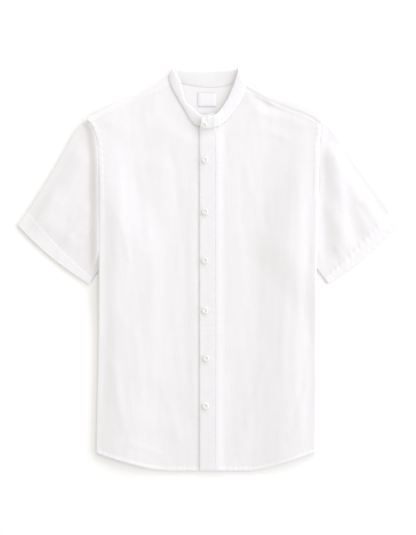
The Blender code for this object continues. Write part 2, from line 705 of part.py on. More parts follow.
def through_stations(at):
    """The collar's seam point and top point, on a smooth curve through the stations."""
    last = len(COLLAR) - 1
    row = min(int(at), last - 1)
    t = at - row
    p1 = COLLAR[row]
    p2 = COLLAR[row + 1]
    p0 = COLLAR[row - 1] if row else p1
    p3 = COLLAR[row + 2] if row + 2 <= last else p2
    values = []
    for a, b, c, d in zip(p0, p1, p2, p3):
        values.append(0.5 * (2 * b + (c - a) * t + (2 * a - 5 * b + 4 * c - d) * t**2
                             + (3 * b - a - 3 * c + d) * t**3))
    return Vector(values[:3]), Vector(values[3:])


def collar_middle(at, up):
    seam, top = through_stations(at)
    return seam.lerp(top, up)


def lay_collar(along, up, face):
    """face 1 is the side that looks away from the neck."""
    last = len(COLLAR) - 1
    at = min(last, max(0.0, along / STATION))
    share = up / COLLAR_WIDTH
    step = 0.05
    ahead = collar_middle(min(last, at + step), share)
    behind = collar_middle(max(0.0, at - step), share)
    seam, top = through_stations(at)
    outward = (ahead - behind).cross(top - seam).normalized()
    bulge = COLLAR_BULGE * 4 * share * (1 - share)
    place = collar_middle(at, share) + outward * ((0.5 - face) * -BAND)
    if place.z > BAND:
        place += outward * bulge * smooth(place.z, BAND, 3 * BAND)
    place.z = max(place.z, 0.0)
    return place


def make_collar(look):
    length = STATION * (len(COLLAR) - 1)
    outline = ((0, 0), (length, 0), (length, COLLAR_WIDTH), (0, COLLAR_WIDTH))
    columns = [STATION * i / 2 for i in range(1, 2 * len(COLLAR) - 2)]
    rows = (COLLAR_WIDTH / 3, COLLAR_WIDTH * 2 / 3)
    return make_cloth("collar_band", outline, columns, rows, lay_collar, look)


# ---------------------------------------------------------------- buttons

# Buttons down the placket, from the top: x, y.
BUTTONS = ((-6.3, 208.0), (-6.3, 109.5), (-6.3, 16.4), (-5.7, -78.6), (-3.8, -169.8),
           (-4.7, -260.6))
COLLAR_BUTTON_AT = 0.5     # stations from the upper end of the collar band
COLLAR_BUTTON_UP = 0.36    # share of the band's width
# A turned button's outline: share of the radius, share of the height.
BUTTON_PROFILE = ((0.0, 0.55), (0.52, 0.55), (0.68, 0.95), (0.84, 1.0), (1.0, 0.62),
                  (0.9, 0.12), (0.6, 0.0), (0.0, 0.0))


def make_button(name, place, normal, look):
    """Turned round its own axis, its foot at place."""
    radius = BUTTON_DIAMETER / 2 * MM
    height = BUTTON_HEIGHT * MM
    outline = bmesh.new()
    points = [outline.verts.new((r * radius, 0.0, h * height)) for r, h in BUTTON_PROFILE]
    for start, end in zip(points, points[1:]):
        outline.edges.new((start, end))
    mesh = bpy.data.meshes.new(name)
    outline.to_mesh(mesh)
    outline.free()
    button = bpy.data.objects.new(name, mesh)
    bpy.data.collections[SHIRT].objects.link(button)
    turned = button.modifiers.new("turned", "SCREW")
    turned.steps = 12
    turned.render_steps = 12
    turned.use_merge_vertices = True
    turned.merge_threshold = 0.00001
    turned.use_smooth_shade = True
    button.location = place * MM
    button.rotation_euler = normal.to_track_quat("Z", "Y").to_euler()
    button.data.materials.append(look)
    return button


def make_buttons(look):
    at = COLLAR_BUTTON_AT * STATION
    up = COLLAR_BUTTON_UP * COLLAR_WIDTH
    outer = lay_collar(at, up, 1.0)
    normal = (outer - lay_collar(at, up, 0.0)).normalized()
    make_button("button_1", outer + normal * AIR * 2, normal, look)
    for number, (x, y) in enumerate(BUTTONS, start=2):
        top = front_level(RIGHT, abs(x), y) + CLOTH / 2 + AIR + BAND
        make_button(f"button_{number}", Vector((x, y, top + AIR)), Vector((0, 0, 1)), look)


# ---------------------------------------------------------------- the shirt

def clear_scene():
    for item in list(bpy.data.objects):
        bpy.data.objects.remove(item, do_unlink=True)


def build():
    clear_scene()
    shirt = bpy.data.collections.new(SHIRT)
    bpy.context.scene.collection.children.link(shirt)
    linen = material("white_linen", (0.93, 0.93, 0.94), 0.85)
    interfaced = material("white_linen_interfaced", (0.95, 0.95, 0.955), 0.82)
    woven = material("white_label", (0.96, 0.96, 0.96), 0.6)
    pearl = material("pearl_button", (0.90, 0.89, 0.86), 0.25)
    make_back(linen)
    make_yoke(linen)
    make_front(LEFT, "front_left", PLACKET_TO_X + AIR, LAYER, linen)
    make_front(RIGHT, "front_right", -BUTTON_STAND_X, 0.0, linen)
    make_placket(interfaced)
    make_sleeve(LEFT, linen)
    make_sleeve(RIGHT, linen)
    make_collar(interfaced)
    make_label(woven)
    make_buttons(pearl)


build()
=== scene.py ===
"""The looks of a mandarin collar shirt in white slub linen, laid flat with its front up.

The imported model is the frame. Every cloth node is replaced by a thin shell, laid by the
same rules as its solid but on a finer grid, with the creases, puckers, hems and seams
that a washed linen shirt has. Stitches, buttonholes and drilled buttons are added.

Sizes are in millimetres. +X is the wearer's left, +Y runs from hem to collar, +Z is up.
"""

import math
from collections import namedtuple

import bmesh
import bpy
import numpy as np
from mathutils import Matrix, Vector


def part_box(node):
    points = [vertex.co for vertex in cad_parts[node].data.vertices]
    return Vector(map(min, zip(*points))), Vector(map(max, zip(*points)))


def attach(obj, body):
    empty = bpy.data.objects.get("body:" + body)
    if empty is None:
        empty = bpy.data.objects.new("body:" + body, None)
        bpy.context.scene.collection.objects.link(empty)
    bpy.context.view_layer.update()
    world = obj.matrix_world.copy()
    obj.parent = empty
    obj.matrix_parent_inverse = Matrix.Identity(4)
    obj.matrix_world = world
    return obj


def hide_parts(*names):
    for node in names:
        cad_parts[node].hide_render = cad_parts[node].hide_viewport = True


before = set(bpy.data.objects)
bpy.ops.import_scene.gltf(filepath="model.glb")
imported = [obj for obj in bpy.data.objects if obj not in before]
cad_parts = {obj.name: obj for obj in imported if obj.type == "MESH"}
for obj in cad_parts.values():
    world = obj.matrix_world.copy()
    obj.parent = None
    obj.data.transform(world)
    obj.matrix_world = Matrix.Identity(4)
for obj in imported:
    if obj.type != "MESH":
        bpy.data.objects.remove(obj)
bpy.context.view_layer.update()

MM = 0.001
ROOT = "root"
SHARP = math.radians(50)       # a steeper edge is drawn sharp

# ------ sizes of the solids
CLOTH = 1.0            # wall of one layer
BAND = 1.6             # wall of the placket and of the collar band
AIR = 0.3
LAYER = CLOTH + AIR
HEM_Y = -383.5
HEM_CURVE_TOP = -180.0         # the hem's curve fades up to here
HEM_BAND = 6.0
FOLD_AT = 205.0
SPREAD_FROM = 60.0
SIDE_SEAM_AT = 250.0
UNDERARM_Y = 50.0
BACK_YOKE_Y = 258.0
FRONT_ROLL = 2.25
FRONT_QUARTER = FOLD_AT + FRONT_ROLL * math.pi / 2     # on the blank, a quarter turn round
BACK_ROLL = FRONT_ROLL - LAYER
BACK_LEVEL = CLOTH / 2
STRIP_LIFT = 2 * FRONT_ROLL - LAYER
SOFT_LIFT = 0.6
ROLL_TOP_Y = 262.0
ROLL_HALF_Y = 249.0
ROLL_FULL_Y = 235.0
ARMHOLE_RISE_Y = 150.0
STRIP_END = 168.0
SLEEVE_AIR = 0.6
SLEEVE_ROLL = (CLOTH + SLEEVE_AIR) / 2
SLEEVE_LEVEL = CLOTH / 2 + 2 * SLEEVE_ROLL
SLEEVE_LIFT = 2 * CLOTH + SLEEVE_AIR + AIR
SLEEVE_WIDTH = 180.0
SLEEVE_LENGTH = 236.0
UNDERARM_ROLL = SLEEVE_LEVEL - CLOTH / 2
UNDERARM_TURN = UNDERARM_ROLL * math.pi / 2
SLEEVE_FOLD_TURN = SLEEVE_ROLL * math.pi
UNDER_REACH = 0.6
CUFF_HEM = 28.0
LIFT_MARGIN = 13.0
LIFT_RAMP = 76.0
PLACKET_FROM_X = -16.2
PLACKET_TO_X = 14.8
PLACKET_TOP_Y = 266.6
BUTTON_STAND_X = 13.0
FRONT_GAP = 0.04       # between the placket and the upper front
JOIN_X = PLACKET_TO_X + AIR
JOIN_RAMP = 18.0
YOKE_ROLL = 0.95
SHOULDER_SLOPE = math.radians(27.0)
NECK_TUCK = 2.5
FELL_WIDTH = 6.2

Side = namedtuple("Side", "name sign edge hem shoulder flap seam_neck fold cuff cap")

# Tables of the laid outline. Distances across are from the centre, without sign.
# edge: y, distance      hem: distance on the blank, rise above HEM_Y
# shoulder: distance, y  flap: distance, depth of the yoke's front flap
# seam_neck: y, distance of the neck seam from the shoulder down to the centre
# fold: distance, y down the sleeve's folded edge   cuff: inner corner and bulge
LEFT = Side(
    name="left", sign=1,
    edge=((-349, 205.0), (-249, 206.0), (-59, 207.0), (-5, 206.5), (55, 207.5), (112, 209.0),
          (169, 211.0), (226, 212.0), (268, 213.0), (292, 215.0)),
    hem=((84, 0.0), (119, 7.0), (166, 21.5), (204, 34.2), (255, 48.0)),
    shoulder=((60, 369.0), (76, 360.3), (102.6, 345.1), (117.8, 336.6), (136.8, 326.9),
              (155.8, 319.5), (174.8, 312.8), (193.8, 305.2), (205.2, 298.6), (214, 291.5)),
    flap=((70, 18.5), (110, 17.5), (137, 14.5), (214, 16.5)),
    seam_neck=((267.6, 0.0), (271, 13.3), (276.9, 29.5), (296.9, 45.6), (310.9, 57.0),
               (326.1, 64.8), (342.7, 71.1), (359.4, 74.3)),
    fold=((205.0, 297.0), (212.8, 291.5), (222.3, 283.4), (241.3, 256.8), (269.8, 216.9),
          (307.8, 163.7), (336.3, 124.7), (363.0, 84.8)),
    cuff=((228.0, -28.0), 6.0),
    cap=(168.0, UNDERARM_Y),
)
RIGHT = Side(
    name="right", sign=-1,
    edge=((-347, 214.0), (-249, 212.0), (-154, 210.0), (-59, 209.0), (74, 208.0), (188, 209.0),
          (226, 211.0), (251, 213.0), (268, 217.0), (283, 228.0)),
    hem=((62, 0.0), (82, 0.6), (108, 4.0), (139, 11.8), (180, 24.3), (212, 36.0), (255, 50.0)),
    shoulder=((60, 381.0), (76, 371.5), (84, 365.2), (96, 356.5), (110.2, 348.0),
              (138.7, 333.9), (167.2, 320.4), (186.2, 310.9), (205.2, 301.0), (220.4, 292.7),
              (234, 284.3)),
    flap=((70, 26.8), (84, 23.4), (96, 20.3), (110, 18.5), (140, 15.5), (220, 13.5)),
    seam_neck=((267.6, 0.0), (268.5, 16.0), (273.9, 27.0), (300.7, 43.5), (327.5, 58.7),
               (346.1, 68.4), (365.0, 74.3)),
    fold=((220.0, 291.0), (233.7, 284.3), (243.2, 275.8), (252.7, 264.4), (263.2, 245.4),
          (284.1, 207.4), (306.9, 169.4), (343.0, 112.4), (363.0, 84.8)),
    cuff=((226.0, -28.0), 7.0),
    cap=(168.0, UNDERARM_Y),
)
SIDES = (LEFT, RIGHT)

SLEEVE_END = ((UNDERARM_Y, STRIP_END), (112, 178.0), (169, 186.0), (226, 197.0), (251, 204.0),
              (291, 219.0))
SLEEVE_UNDERARM = ((STRIP_END, UNDERARM_Y), (227.0, -28.0))
STRIP_TOP = ((204.0, 120.0), (STRIP_END, UNDERARM_Y))
# The armhole where it runs round the side fold: distance on the front's blank, y.
ARMHOLE = ((FRONT_QUARTER, ARMHOLE_RISE_Y), (212.0, 131.0), (218.0, 105.0), (227.0, 82.0),
           (239.0, 62.0), (SIDE_SEAM_AT, UNDERARM_Y))

# Soft folds of the front, as in the solids: from x, y, to x, y, half width, height
FOLDS = (
    (-92, 190, -100, -200, 27, 1.6),
    (-188, 110, -186, -240, 20, 1.2),
    (-30, 150, -26, -270, 13, 0.8),
    (42, 230, 46, -150, 20, 1.2),
    (178, 180, 172, -250, 22, 1.5),
    (-150, 230, -142, -90, 20, -0.8),
    (126, 200, 130, -130, 22, -0.8),
    (-120, 285, -150, 262, 18, 0.7),
    (60, 262, 92, 276, 16, 0.8),
    (84, 334, 108, 314, 11, -0.9),
    (108, 314, 146, 302, 10, -0.5),
    (120, -240, 60, -330, 24, 0.7),
    (-70, -300, -160, -280, 22, 0.6),
)
FOLD_SHARE = 0.7       # of the solids' height, as the cloth shows them
SPARE_AIR = 0.9
NECK_CENTRE = (0.0, 335.0)
NECK_HALF = (74.0, 68.0)
# Distances between which the folds fade in, from the side, the shoulder and the neck
EDGE_FADE = (5.0, 42.0)
SHOULDER_FADE = (4.0, 42.0)
NECK_FADE = (4.0, 34.0)
EDGE_SOFT = (8.0, 36.0)
SHOULDER_SOFT = (26.0, 56.0)

# ------ sizes of the finer form
CREASE_EDGE_FADE = (3.0, 14.0)
CREASE_SHOULDER_FADE = (18.0, 26.0)
CREASE_NECK_FADE = (4.0, 18.0)
PLACKET_MIDDLE_X = -0.7
PLACKET_FADE = (15.0, 26.0)    # from the placket's middle, where the creases start
PLACKET_RIPPLES = 0.3          # share of the ripples that its stitches leave
RIPPLE_STRETCH = 0.35          # ripples of the fronts are drawn out along y
RIPPLE_WAVES = 7
EDGE_DROP = 0.5        # the fronts sink softly by this much towards their side folds
EDGE_DROP_WIDTH = 42.0
ARMHOLE_DROP = {"left": 1.1, "right": 0.0}     # share of that drop beside the armhole
ARMHOLE_DROP_Y = (60.0, 120.0)
DROP_SHOULDER_FADE = (18.0, 60.0)
CORNER_ROOM = 6.0      # between the last point of a front's neck edge and the yoke's flap
CORNER_STEP = 0.25     # in the search for their corner
FLAP_STOPS = 26        # points of a front's upper edge below the flap
FLAP_ENDS = (1.5, 3.0)         # beyond the neck corner, and short of the side fold
YOKE_TUCK = 1.2        # the fronts reach this far under the yoke's flaps
YOKE_DIP = 0.55        # and sink by this much there
DIP_ACROSS = (-2.5, 0.5)       # from the flap's edge
DIP_FROM_X = (40.0, 60.0)
SHELL = 0.3            # half the wall of one layer as it is seen
EDGE_ROUND = 0.8       # a turned edge thins over this width
EDGE_LEFT = 0.08       # square of the share of its wall that the very edge keeps
HALF_BAND = 0.6        # half the wall of the placket and of the collar band
BAND_ROUND = 2.0       # their edges thin over this width
THREAD = 0.26          # radius of a stitch
STITCH_PITCH = 2.7
STITCH_LENGTH = 2.0
EDGE_STITCH = 1.7      # from a turned edge to its topstitch
GROOVE_HALF = 0.7      # half width of the groove that a topstitch pulls
HEM_RIDGE = 0.35
HEM_RAMP = (HEM_Y + HEM_BAND + 0.9, HEM_Y + HEM_BAND - 0.5)
HEM_START = (17.0, 24.0)       # the hem's ridge rises beside the placket
HEM_START_COLUMNS = (16.0, 20.0, 27.0)
HEM_END = (FOLD_AT + 2.0, FOLD_AT - 6.0)       # and fades at the side fold
FELL_RIDGE = 0.2
FELL_SHADE = {"left": 1.0, "right": 0.0}       # how far the doubled armhole strip brightens
FELL_EDGE = (FELL_WIDTH + 2.0, FELL_WIDTH - 1.0)
FELL_COLUMNS = (FOLD_AT - FELL_WIDTH - 4.0, FOLD_AT - FELL_WIDTH + 1.5)
FELL_START_Y = (128.0, 134.0)
FELL_END = (FOLD_AT + 1.0, FOLD_AT - 1.0)
BESIDE_PLACKET = 18.0
BESIDE_START = (15.0, 17.0)
SEWN = 0.5             # half the step from one layer to two in the look of the cloth
CUFF_RIDGE = 0.25
FINE = 2.7             # grid of what shows
COARSE = 6.0           # grid of what is hidden
FINE_FROM = 160.0      # where the back's grid turns fine, towards its side folds
CLOSE = 0.9            # grid beside a seam
TURNING = 0.6          # grid round a fold
HEM_EDGE_ROWS = (HEM_Y, HEM_Y + 0.8, HEM_Y + 2.4)
HEM_SEAM_ROWS = (HEM_Y + HEM_BAND - 1.0, HEM_Y + HEM_BAND + 1.2)

# Ripples of a face: height, shortest and longest wave, seed of the draws
RIPPLES = {
    "body": (0.13, 14, 36, 3),
    "placket": (0.10, 24, 60, 43),
    "label": (0.12, 12, 30, 61),
    "sleeve": (0.12, 18, 44, 71),
}
# Gathers along a line of stitches: height, wave, reach to both sides, seed of the draws
GATHERS = {
    "hem": (0.22, 9.5, 5.0, 11),
    "fell": (0.13, 12.0, 5.0, 21),
    "beside_placket": (0.12, 13.0, 6.0, 31),
    "placket": (0.13, 10.5, 5.5, 41),
    "flap": (0.14, 9.0, 6.0, 51),
    "cuff": (1.0, 12.0, 9.0, 81),
    "cuff_edge": (0.5, 15.0, 9.0, 91),
    "collar": (0.22, 17.0, 12.0, 101),
    "collar_edge": (0.35, 23.0, 18.0, 103),
}
# How gathers change along their line: drift of the waves, and lengths in waves
GATHER_DRIFT = 1.7
GATHER_BEATS = (2.3, 5.1, 3.7)
GATHER_SHARE = 0.45            # part of their height that comes and goes

# Creases beside the solids' folds: from x, y, to x, y, half width, height. The first two
# deepen the hollow beside the collar, the next three lower long folds of the fronts, and the
# sixth fills a long hollow, all after the photograph's shading. The others are finer.
CREASES = (
    (80, 334, 112, 312, 15, -0.8),
    (112, 312, 142, 303, 12, -0.4),
    (178, 180, 172, -250, 22, -0.75),
    (-188, 110, -186, -240, 20, -0.5),
    (44, 230, 47, -330, 22, -0.55),
    (127, 200, 130, -120, 22, 0.55),
    (-168, 96, -150, 20, 7, 0.30),
    (-176, 20, -164, -70, 8, -0.25),
    (-120, 170, -112, 60, 9, 0.28),
    (-104, 10, -110, -120, 8, 0.26),
    (-66, 210, -60, 120, 8, -0.28),
    (-58, 40, -64, -110, 9, 0.25),
    (-40, -60, -38, -210, 7, -0.22),
    (-136, -130, -128, -240, 9, 0.26),
    (-182, -180, -160, -300, 8, 0.30),
    (-150, -330, -90, -352, 7, 0.25),
    (-84, -230, -52, -330, 9, 0.24),
    (-46, 250, -62, 214, 7, 0.32),
    (-84, 300, -106, 286, 8, -0.30),
    (34, 250, 40, 180, 7, -0.26),
    (70, 200, 96, 120, 9, 0.34),
    (84, 170, 110, 84, 7, -0.22),
    (60, 60, 64, -60, 9, 0.24),
    (92, 20, 98, -110, 8, -0.24),
    (30, -120, 34, -250, 8, 0.24),
    (152, 90, 158, -20, 10, 0.12),
    (190, 40, 184, -90, 7, -0.25),
    (146, -60, 140, -190, 9, 0.26),
    (196, -150, 176, -300, 7, 0.18),
    (176, -220, 150, -330, 7, -0.26),
    (110, -180, 76, -290, 9, 0.28),
    (126, -300, 60, -350, 8, 0.26),
    (120, 262, 150, 248, 8, 0.28),
    (92, 300, 122, 288, 8, 0.34),
    (160, 296, 190, 280, 7, -0.24),
)


def smooth(value, start, end):
    """0 at start, 1 at end, with a soft run between; start may be the larger."""
    t = np.clip((np.asarray(value, float) - start) / (end - start), 0.0, 1.0)
    return t * t * (3 - 2 * t)


def read(table, at):
    """Values of a two-column table, on a smooth curve through its rows."""
    xs = np.array([row[0] for row in table], float)
    ys = np.array([row[1] for row in table], float)
    last = len(xs) - 1
    at = np.clip(np.asarray(at, float), xs[0], xs[-1])
    row = np.clip(np.searchsorted(xs, at) - 1, 0, last - 1)
    before = np.maximum(row - 1, 0)
    after = np.minimum(row + 2, last)
    span = xs[row + 1] - xs[row]
    slope0 = (ys[row + 1] - ys[before]) / (xs[row + 1] - xs[before])
    slope1 = (ys[after] - ys[row]) / (xs[after] - xs[row])
    t = (at - xs[row]) / span
    return ((2 * t**3 - 3 * t**2 + 1) * ys[row] + (t**3 - 2 * t**2 + t) * span * slope0
            + (3 * t**2 - 2 * t**3) * ys[row + 1] + (t**3 - t**2) * span * slope1)


def segment_distance(x, y, x0, y0, x1, y1):
    run_x, run_y = x1 - x0, y1 - y0
    t = ((x - x0) * run_x + (y - y0) * run_y) / (run_x**2 + run_y**2)
    t = np.clip(t, 0.0, 1.0)
    return np.hypot(x - x0 - t * run_x, y - y0 - t * run_y)


def ridges(table, x, y):
    """Height of soft ridges and troughs, each round a straight line."""
    height = np.zeros(np.shape(x))
    for x0, y0, x1, y1, width, rise in table:
        height += rise * np.exp(-(segment_distance(x, y, x0, y0, x1, y1) / width) ** 2)
    return height


def ripples(kind, x, y, sign=0):
    """A soft uneven surface, from waves that cross each other."""
    height, shortest, longest, seed = RIPPLES[kind]
    chance = np.random.default_rng(seed + sign)
    total = np.zeros(np.shape(x))
    for _ in range(RIPPLE_WAVES):
        heading = chance.uniform(0, math.pi)
        length = chance.uniform(shortest, longest)
        phase = chance.uniform(0, 2 * math.pi)
        across = x * math.cos(heading) + y * math.sin(heading)
        total += np.sin(2 * math.pi * across / length + phase)
    return height * total / RIPPLE_WAVES


def gathers(kind, along, away, sign=0):
    """Small gathers along a line of stitches, uneven in length and strength."""
    height, wave, reach, seed = GATHERS[kind]
    drift, strength = np.random.default_rng(seed + sign).uniform(0, 2 * math.pi, 2)
    quick, slow, fading = (along / (wave * beat) for beat in GATHER_BEATS)
    phase = 2 * math.pi * along / wave + GATHER_DRIFT * np.sin(quick + drift) + np.sin(slow)
    share = 1 - GATHER_SHARE + GATHER_SHARE * np.sin(fading + strength)
    return height * np.sin(phase) * share * np.exp(-(away / reach) ** 2)


def groove(from_edge, depth):
    """The groove that a topstitch pulls along an edge."""
    return -depth * np.exp(-((from_edge - EDGE_STITCH) / GROOVE_HALF) ** 2)


def settle(step, value, rounds):
    """The value that a step leaves as it is, found by repeating the step."""
    for _ in range(rounds):
        value = step(value)
    return value


# ------ where the body lies

def edge_x(side, y):
    return read(side.edge, y)


def fold_x(side, y):
    roll_angle = math.pi / 2 * smooth(y, ROLL_TOP_Y, ROLL_FULL_Y)
    return edge_x(side, y) - (FRONT_ROLL + CLOTH / 2) * np.sin(roll_angle)


def laid_x(side, across, y):
    return across + (fold_x(side, y) - FOLD_AT) * smooth(across, SPREAD_FROM, FOLD_AT)


def blank_x(side, x, y):
    return settle(lambda across: across + x - laid_x(side, across, y), x, 30)


def laid_y(side, across, along):
    return along + read(side.hem, across) * smooth(along, HEM_CURVE_TOP, HEM_Y)


def right_of(x, y, line):
    (x0, y0), (x1, y1) = line
    length = math.hypot(x1 - x0, y1 - y0)
    return ((x - x0) * (y1 - y0) - (y - y0) * (x1 - x0)) / length


def rim(away):
    return 1 - smooth(away, LIFT_MARGIN, LIFT_MARGIN + LIFT_RAMP)


def sleeve_lift(x, y):
    away = np.maximum(read(SLEEVE_END, y) - x, right_of(x, y, SLEEVE_UNDERARM))
    return SLEEVE_LIFT * rim(away)


def strip_share(x, y):
    return rim(np.maximum(STRIP_END - x, right_of(x, y, STRIP_TOP)))


def back_level(x, y):
    return BACK_LEVEL + sleeve_lift(x, y) + STRIP_LIFT * strip_share(x, y)


def from_neck(signed, y):
    round_neck = np.hypot((signed - NECK_CENTRE[0]) / NECK_HALF[0],
                          (y - NECK_CENTRE[1]) / NECK_HALF[1])
    return (round_neck - 1) * NECK_HALF[1]


def relief(side, x, y):
    """Height of the soft folds, from 0 at the edges of the body."""
    signed = x * side.sign
    fade = smooth(edge_x(side, y) - x, *EDGE_FADE)
    fade = fade * smooth(read(side.shoulder, x) - y, *SHOULDER_FADE)
    fade = fade * smooth(from_neck(signed, y), *NECK_FADE)
    return np.maximum(0.0, SPARE_AIR + FOLD_SHARE * ridges(FOLDS, signed, y)) * fade


def fine_relief(side, x, y):
    """Creases and ripples that the solids leave out."""
    signed = x * side.sign
    fade = smooth(edge_x(side, y) - x, *CREASE_EDGE_FADE)
    fade = fade * smooth(read(side.shoulder, x) - y, *CREASE_SHOULDER_FADE)
    fade = fade * smooth(from_neck(signed, y), *CREASE_NECK_FADE)
    beside = smooth(np.abs(signed - PLACKET_MIDDLE_X), *PLACKET_FADE)
    rippled = ripples("body", signed, y * RIPPLE_STRETCH)
    rippled = rippled * (PLACKET_RIPPLES + (1 - PLACKET_RIPPLES) * beside)
    return (ridges(CREASES, signed, y) * beside + rippled) * fade


def edge_drop(side, x, y):
    share = 1 + (ARMHOLE_DROP[side.name] - 1) * smooth(y, *ARMHOLE_DROP_Y)
    share = share * smooth(read(side.shoulder, x) - y, *DROP_SHOULDER_FADE)
    return EDGE_DROP * share * (1 - smooth(edge_x(side, y) - x, 0.0, EDGE_DROP_WIDTH))


def front_level(side, x, y):
    """Height of a front's middle; its upper edge dips under the yoke's flap."""
    near_edge = 1 - smooth(edge_x(side, y) - x, *EDGE_SOFT)
    near_shoulder = 1 - smooth(read(side.shoulder, x) - y, *SHOULDER_SOFT)
    soft = np.maximum(near_edge, near_shoulder) * (1 - strip_share(x, y))
    tucked = YOKE_DIP * smooth(y - flap_edge_y(side, x), *DIP_ACROSS) * smooth(x, *DIP_FROM_X)
    return (back_level(x, y) + LAYER + SOFT_LIFT * soft + relief(side, x, y)
            + fine_relief(side, x, y) - tucked)


def lay_body(side, roll, level, raised, join=0.0, drop=0.0):
    """Lay a front or the back on one side: flat, round the side fold, and back below.

    drop is 1 where the cloth sinks towards the side fold, and 0 where it stays level.
    """
    turn_end = FOLD_AT + math.pi * roll

    def lay(across, along, off):
        y = laid_y(side, across, along)
        off = off + raised(across, along)
        start = fold_x(side, y)
        flat_x = laid_x(side, across, y)
        flat_z = (level(side, flat_x, y) - drop * edge_drop(side, flat_x, y) + off
                  + join * smooth(across, JOIN_X + JOIN_RAMP, JOIN_X))
        turn = np.clip((across - FOLD_AT) / roll, 0.0, math.pi)
        edge_level = level(side, start, y)
        turn_x = start + (roll + off) * np.sin(turn)
        sunk = drop * edge_drop(side, start, y)
        turn_z = edge_level - roll + (roll + off) * np.cos(turn) - sunk * (1 + np.cos(turn)) / 2
        strip_x = start - (across - turn_end)
        under = edge_level - 2 * roll - sleeve_lift(start, y)
        strip_z = under + sleeve_lift(strip_x, y) - off
        where = [across <= FOLD_AT, across <= turn_end]
        x = np.select(where, [flat_x, turn_x], strip_x)
        z = np.select(where, [flat_z, turn_z], strip_z)
        return np.stack([side.sign * x, y, z], axis=-1)

    return lay


# ------ making meshes

def new_object(name, data):
    made = bpy.data.objects.new(name, data)
    bpy.context.scene.collection.objects.link(made)
    return made


def unit(vectors):
    return vectors / np.linalg.norm(vectors, axis=-1, keepdims=True)


def spaced(stops, steps):
    """Values through all the stops; steps is one distance, or one for each gap."""
    values = [stops[0]]
    for start, end, step in zip(stops, stops[1:], np.broadcast_to(steps, len(stops) - 1)):
        count = max(1, round(abs(end - start) / step))
        values += [start + (end - start) * i / count for i in range(1, count + 1)]
    return np.array(values)


def make_mesh(name, points, faces, cut=None, doubled=None):
    """A mesh object; cut is each point's place on the flat cloth, for the weave."""
    mesh = bpy.data.meshes.new(name)
    mesh.from_pydata((points * MM).tolist(), [], faces.tolist())
    mesh.update()
    if cut is not None:
        layer = mesh.uv_layers.new(name="cut")
        corners = np.zeros(len(mesh.loops), np.int32)
        mesh.loops.foreach_get("vertex_index", corners)
        layer.data.foreach_set("uv", (cut[corners] * MM).astype(np.float32).ravel())
    if doubled is not None:
        layers = mesh.attributes.new("layers", "FLOAT", "POINT")
        layers.data.foreach_set("value", doubled.astype(np.float32))
    outwards = bmesh.new()
    outwards.from_mesh(mesh)
    if outwards.calc_volume(signed=True) < 0:
        mesh.flip_normals()
    outwards.free()
    mesh.shade_smooth()
    mesh.set_sharp_from_angle(angle=SHARP)
    return new_object(name, mesh)


def grid_faces(keep, index, flip):
    a, b = index[:-1, :-1][keep], index[:-1, 1:][keep]
    c, d = index[1:, 1:][keep], index[1:, :-1][keep]
    order = [a, d, c, b] if flip else [a, b, c, d]
    return np.stack(order, axis=-1)


def cut_out(us, along, row, gone):
    """Places across of a grid, and its cells without those of some columns above a row."""
    keep = np.ones((along.shape[0] - 1, along.shape[1] - 1), bool)
    keep[row:, gone[1:] | gone[:-1]] = False
    return np.broadcast_to(us, along.shape).copy(), keep


def make_shell(name, lay, across, along, half, keep=None, doubled=None):
    """A closed thin wall over a grid of the cut cloth.

    half is the grid of half walls, and keep marks the cells that the cut has.
    """
    rows, columns = across.shape
    if keep is None:
        keep = np.ones((rows - 1, columns - 1), bool)
    outer = lay(across, along, half)
    inner = lay(across, along, -half)
    index = np.arange(rows * columns).reshape(rows, columns)
    below = index + rows * columns
    faces = [grid_faces(keep, index, False), grid_faces(keep, below, True)]
    wide = np.pad(keep, 1)
    middle = wide[1:-1, 1:-1]
    rims = (
        (middle & ~wide[:-2, 1:-1], index[:-1, 1:], index[:-1, :-1]),
        (middle & ~wide[2:, 1:-1], index[1:, :-1], index[1:, 1:]),
        (middle & ~wide[1:-1, :-2], index[:-1, :-1], index[1:, :-1]),
        (middle & ~wide[1:-1, 2:], index[1:, 1:], index[:-1, 1:]),
    )
    for border, first, second in rims:
        p, q = first[border], second[border]
        faces.append(np.stack([p, q, q + rows * columns, p + rows * columns], axis=-1))
    faces = np.concatenate(faces)
    points = np.concatenate([outer.reshape(-1, 3), inner.reshape(-1, 3)])
    cut = np.stack([across, along], axis=-1).reshape(-1, 2)
    cut = np.concatenate([cut, cut])
    thick = np.zeros(rows * columns) if doubled is None else doubled.ravel()
    thick = np.concatenate([thick, thick])
    used, places = np.unique(faces, return_inverse=True)
    faces = places.reshape(faces.shape)
    return make_mesh(name, points[used], faces, cut[used], thick[used])


def edge_half(distance, full, width=EDGE_ROUND):
    """Half wall that rounds off towards a turned edge at this distance."""
    t = np.clip(distance / width, 0.0, 1.0)
    return full * np.sqrt(np.clip(1 - (1 - t) ** 2, EDGE_LEFT, 1.0))


# ------ body panels

def in_hem(along):
    """1 on the turned-up hem band, sinking to 0 at its stitches."""
    return smooth(along, *HEM_RAMP)


def front_seams(side):
    """How far the hem, the felled armhole and the puckers beside stitches lift a front."""
    def raised(across, along):
        hem = HEM_RIDGE * in_hem(along)
        hem = hem + gathers("hem", across, along - HEM_Y - HEM_BAND, side.sign)
        hem = hem * smooth(across, *HEM_START) * smooth(across, *HEM_END)
        inside = FOLD_AT - across
        felled = FELL_RIDGE * smooth(inside, *FELL_EDGE)
        felled = felled + gathers("fell", along, inside - FELL_WIDTH, side.sign)
        felled = felled * smooth(along, *FELL_START_Y) * smooth(across, *FELL_END)
        beside = gathers("beside_placket", along, across - BESIDE_PLACKET, side.sign)
        return hem + felled + beside * smooth(across, *BESIDE_START)
    return raised


def flap_edge_y(side, x):
    return read(side.shoulder, x) - read(side.flap, x)


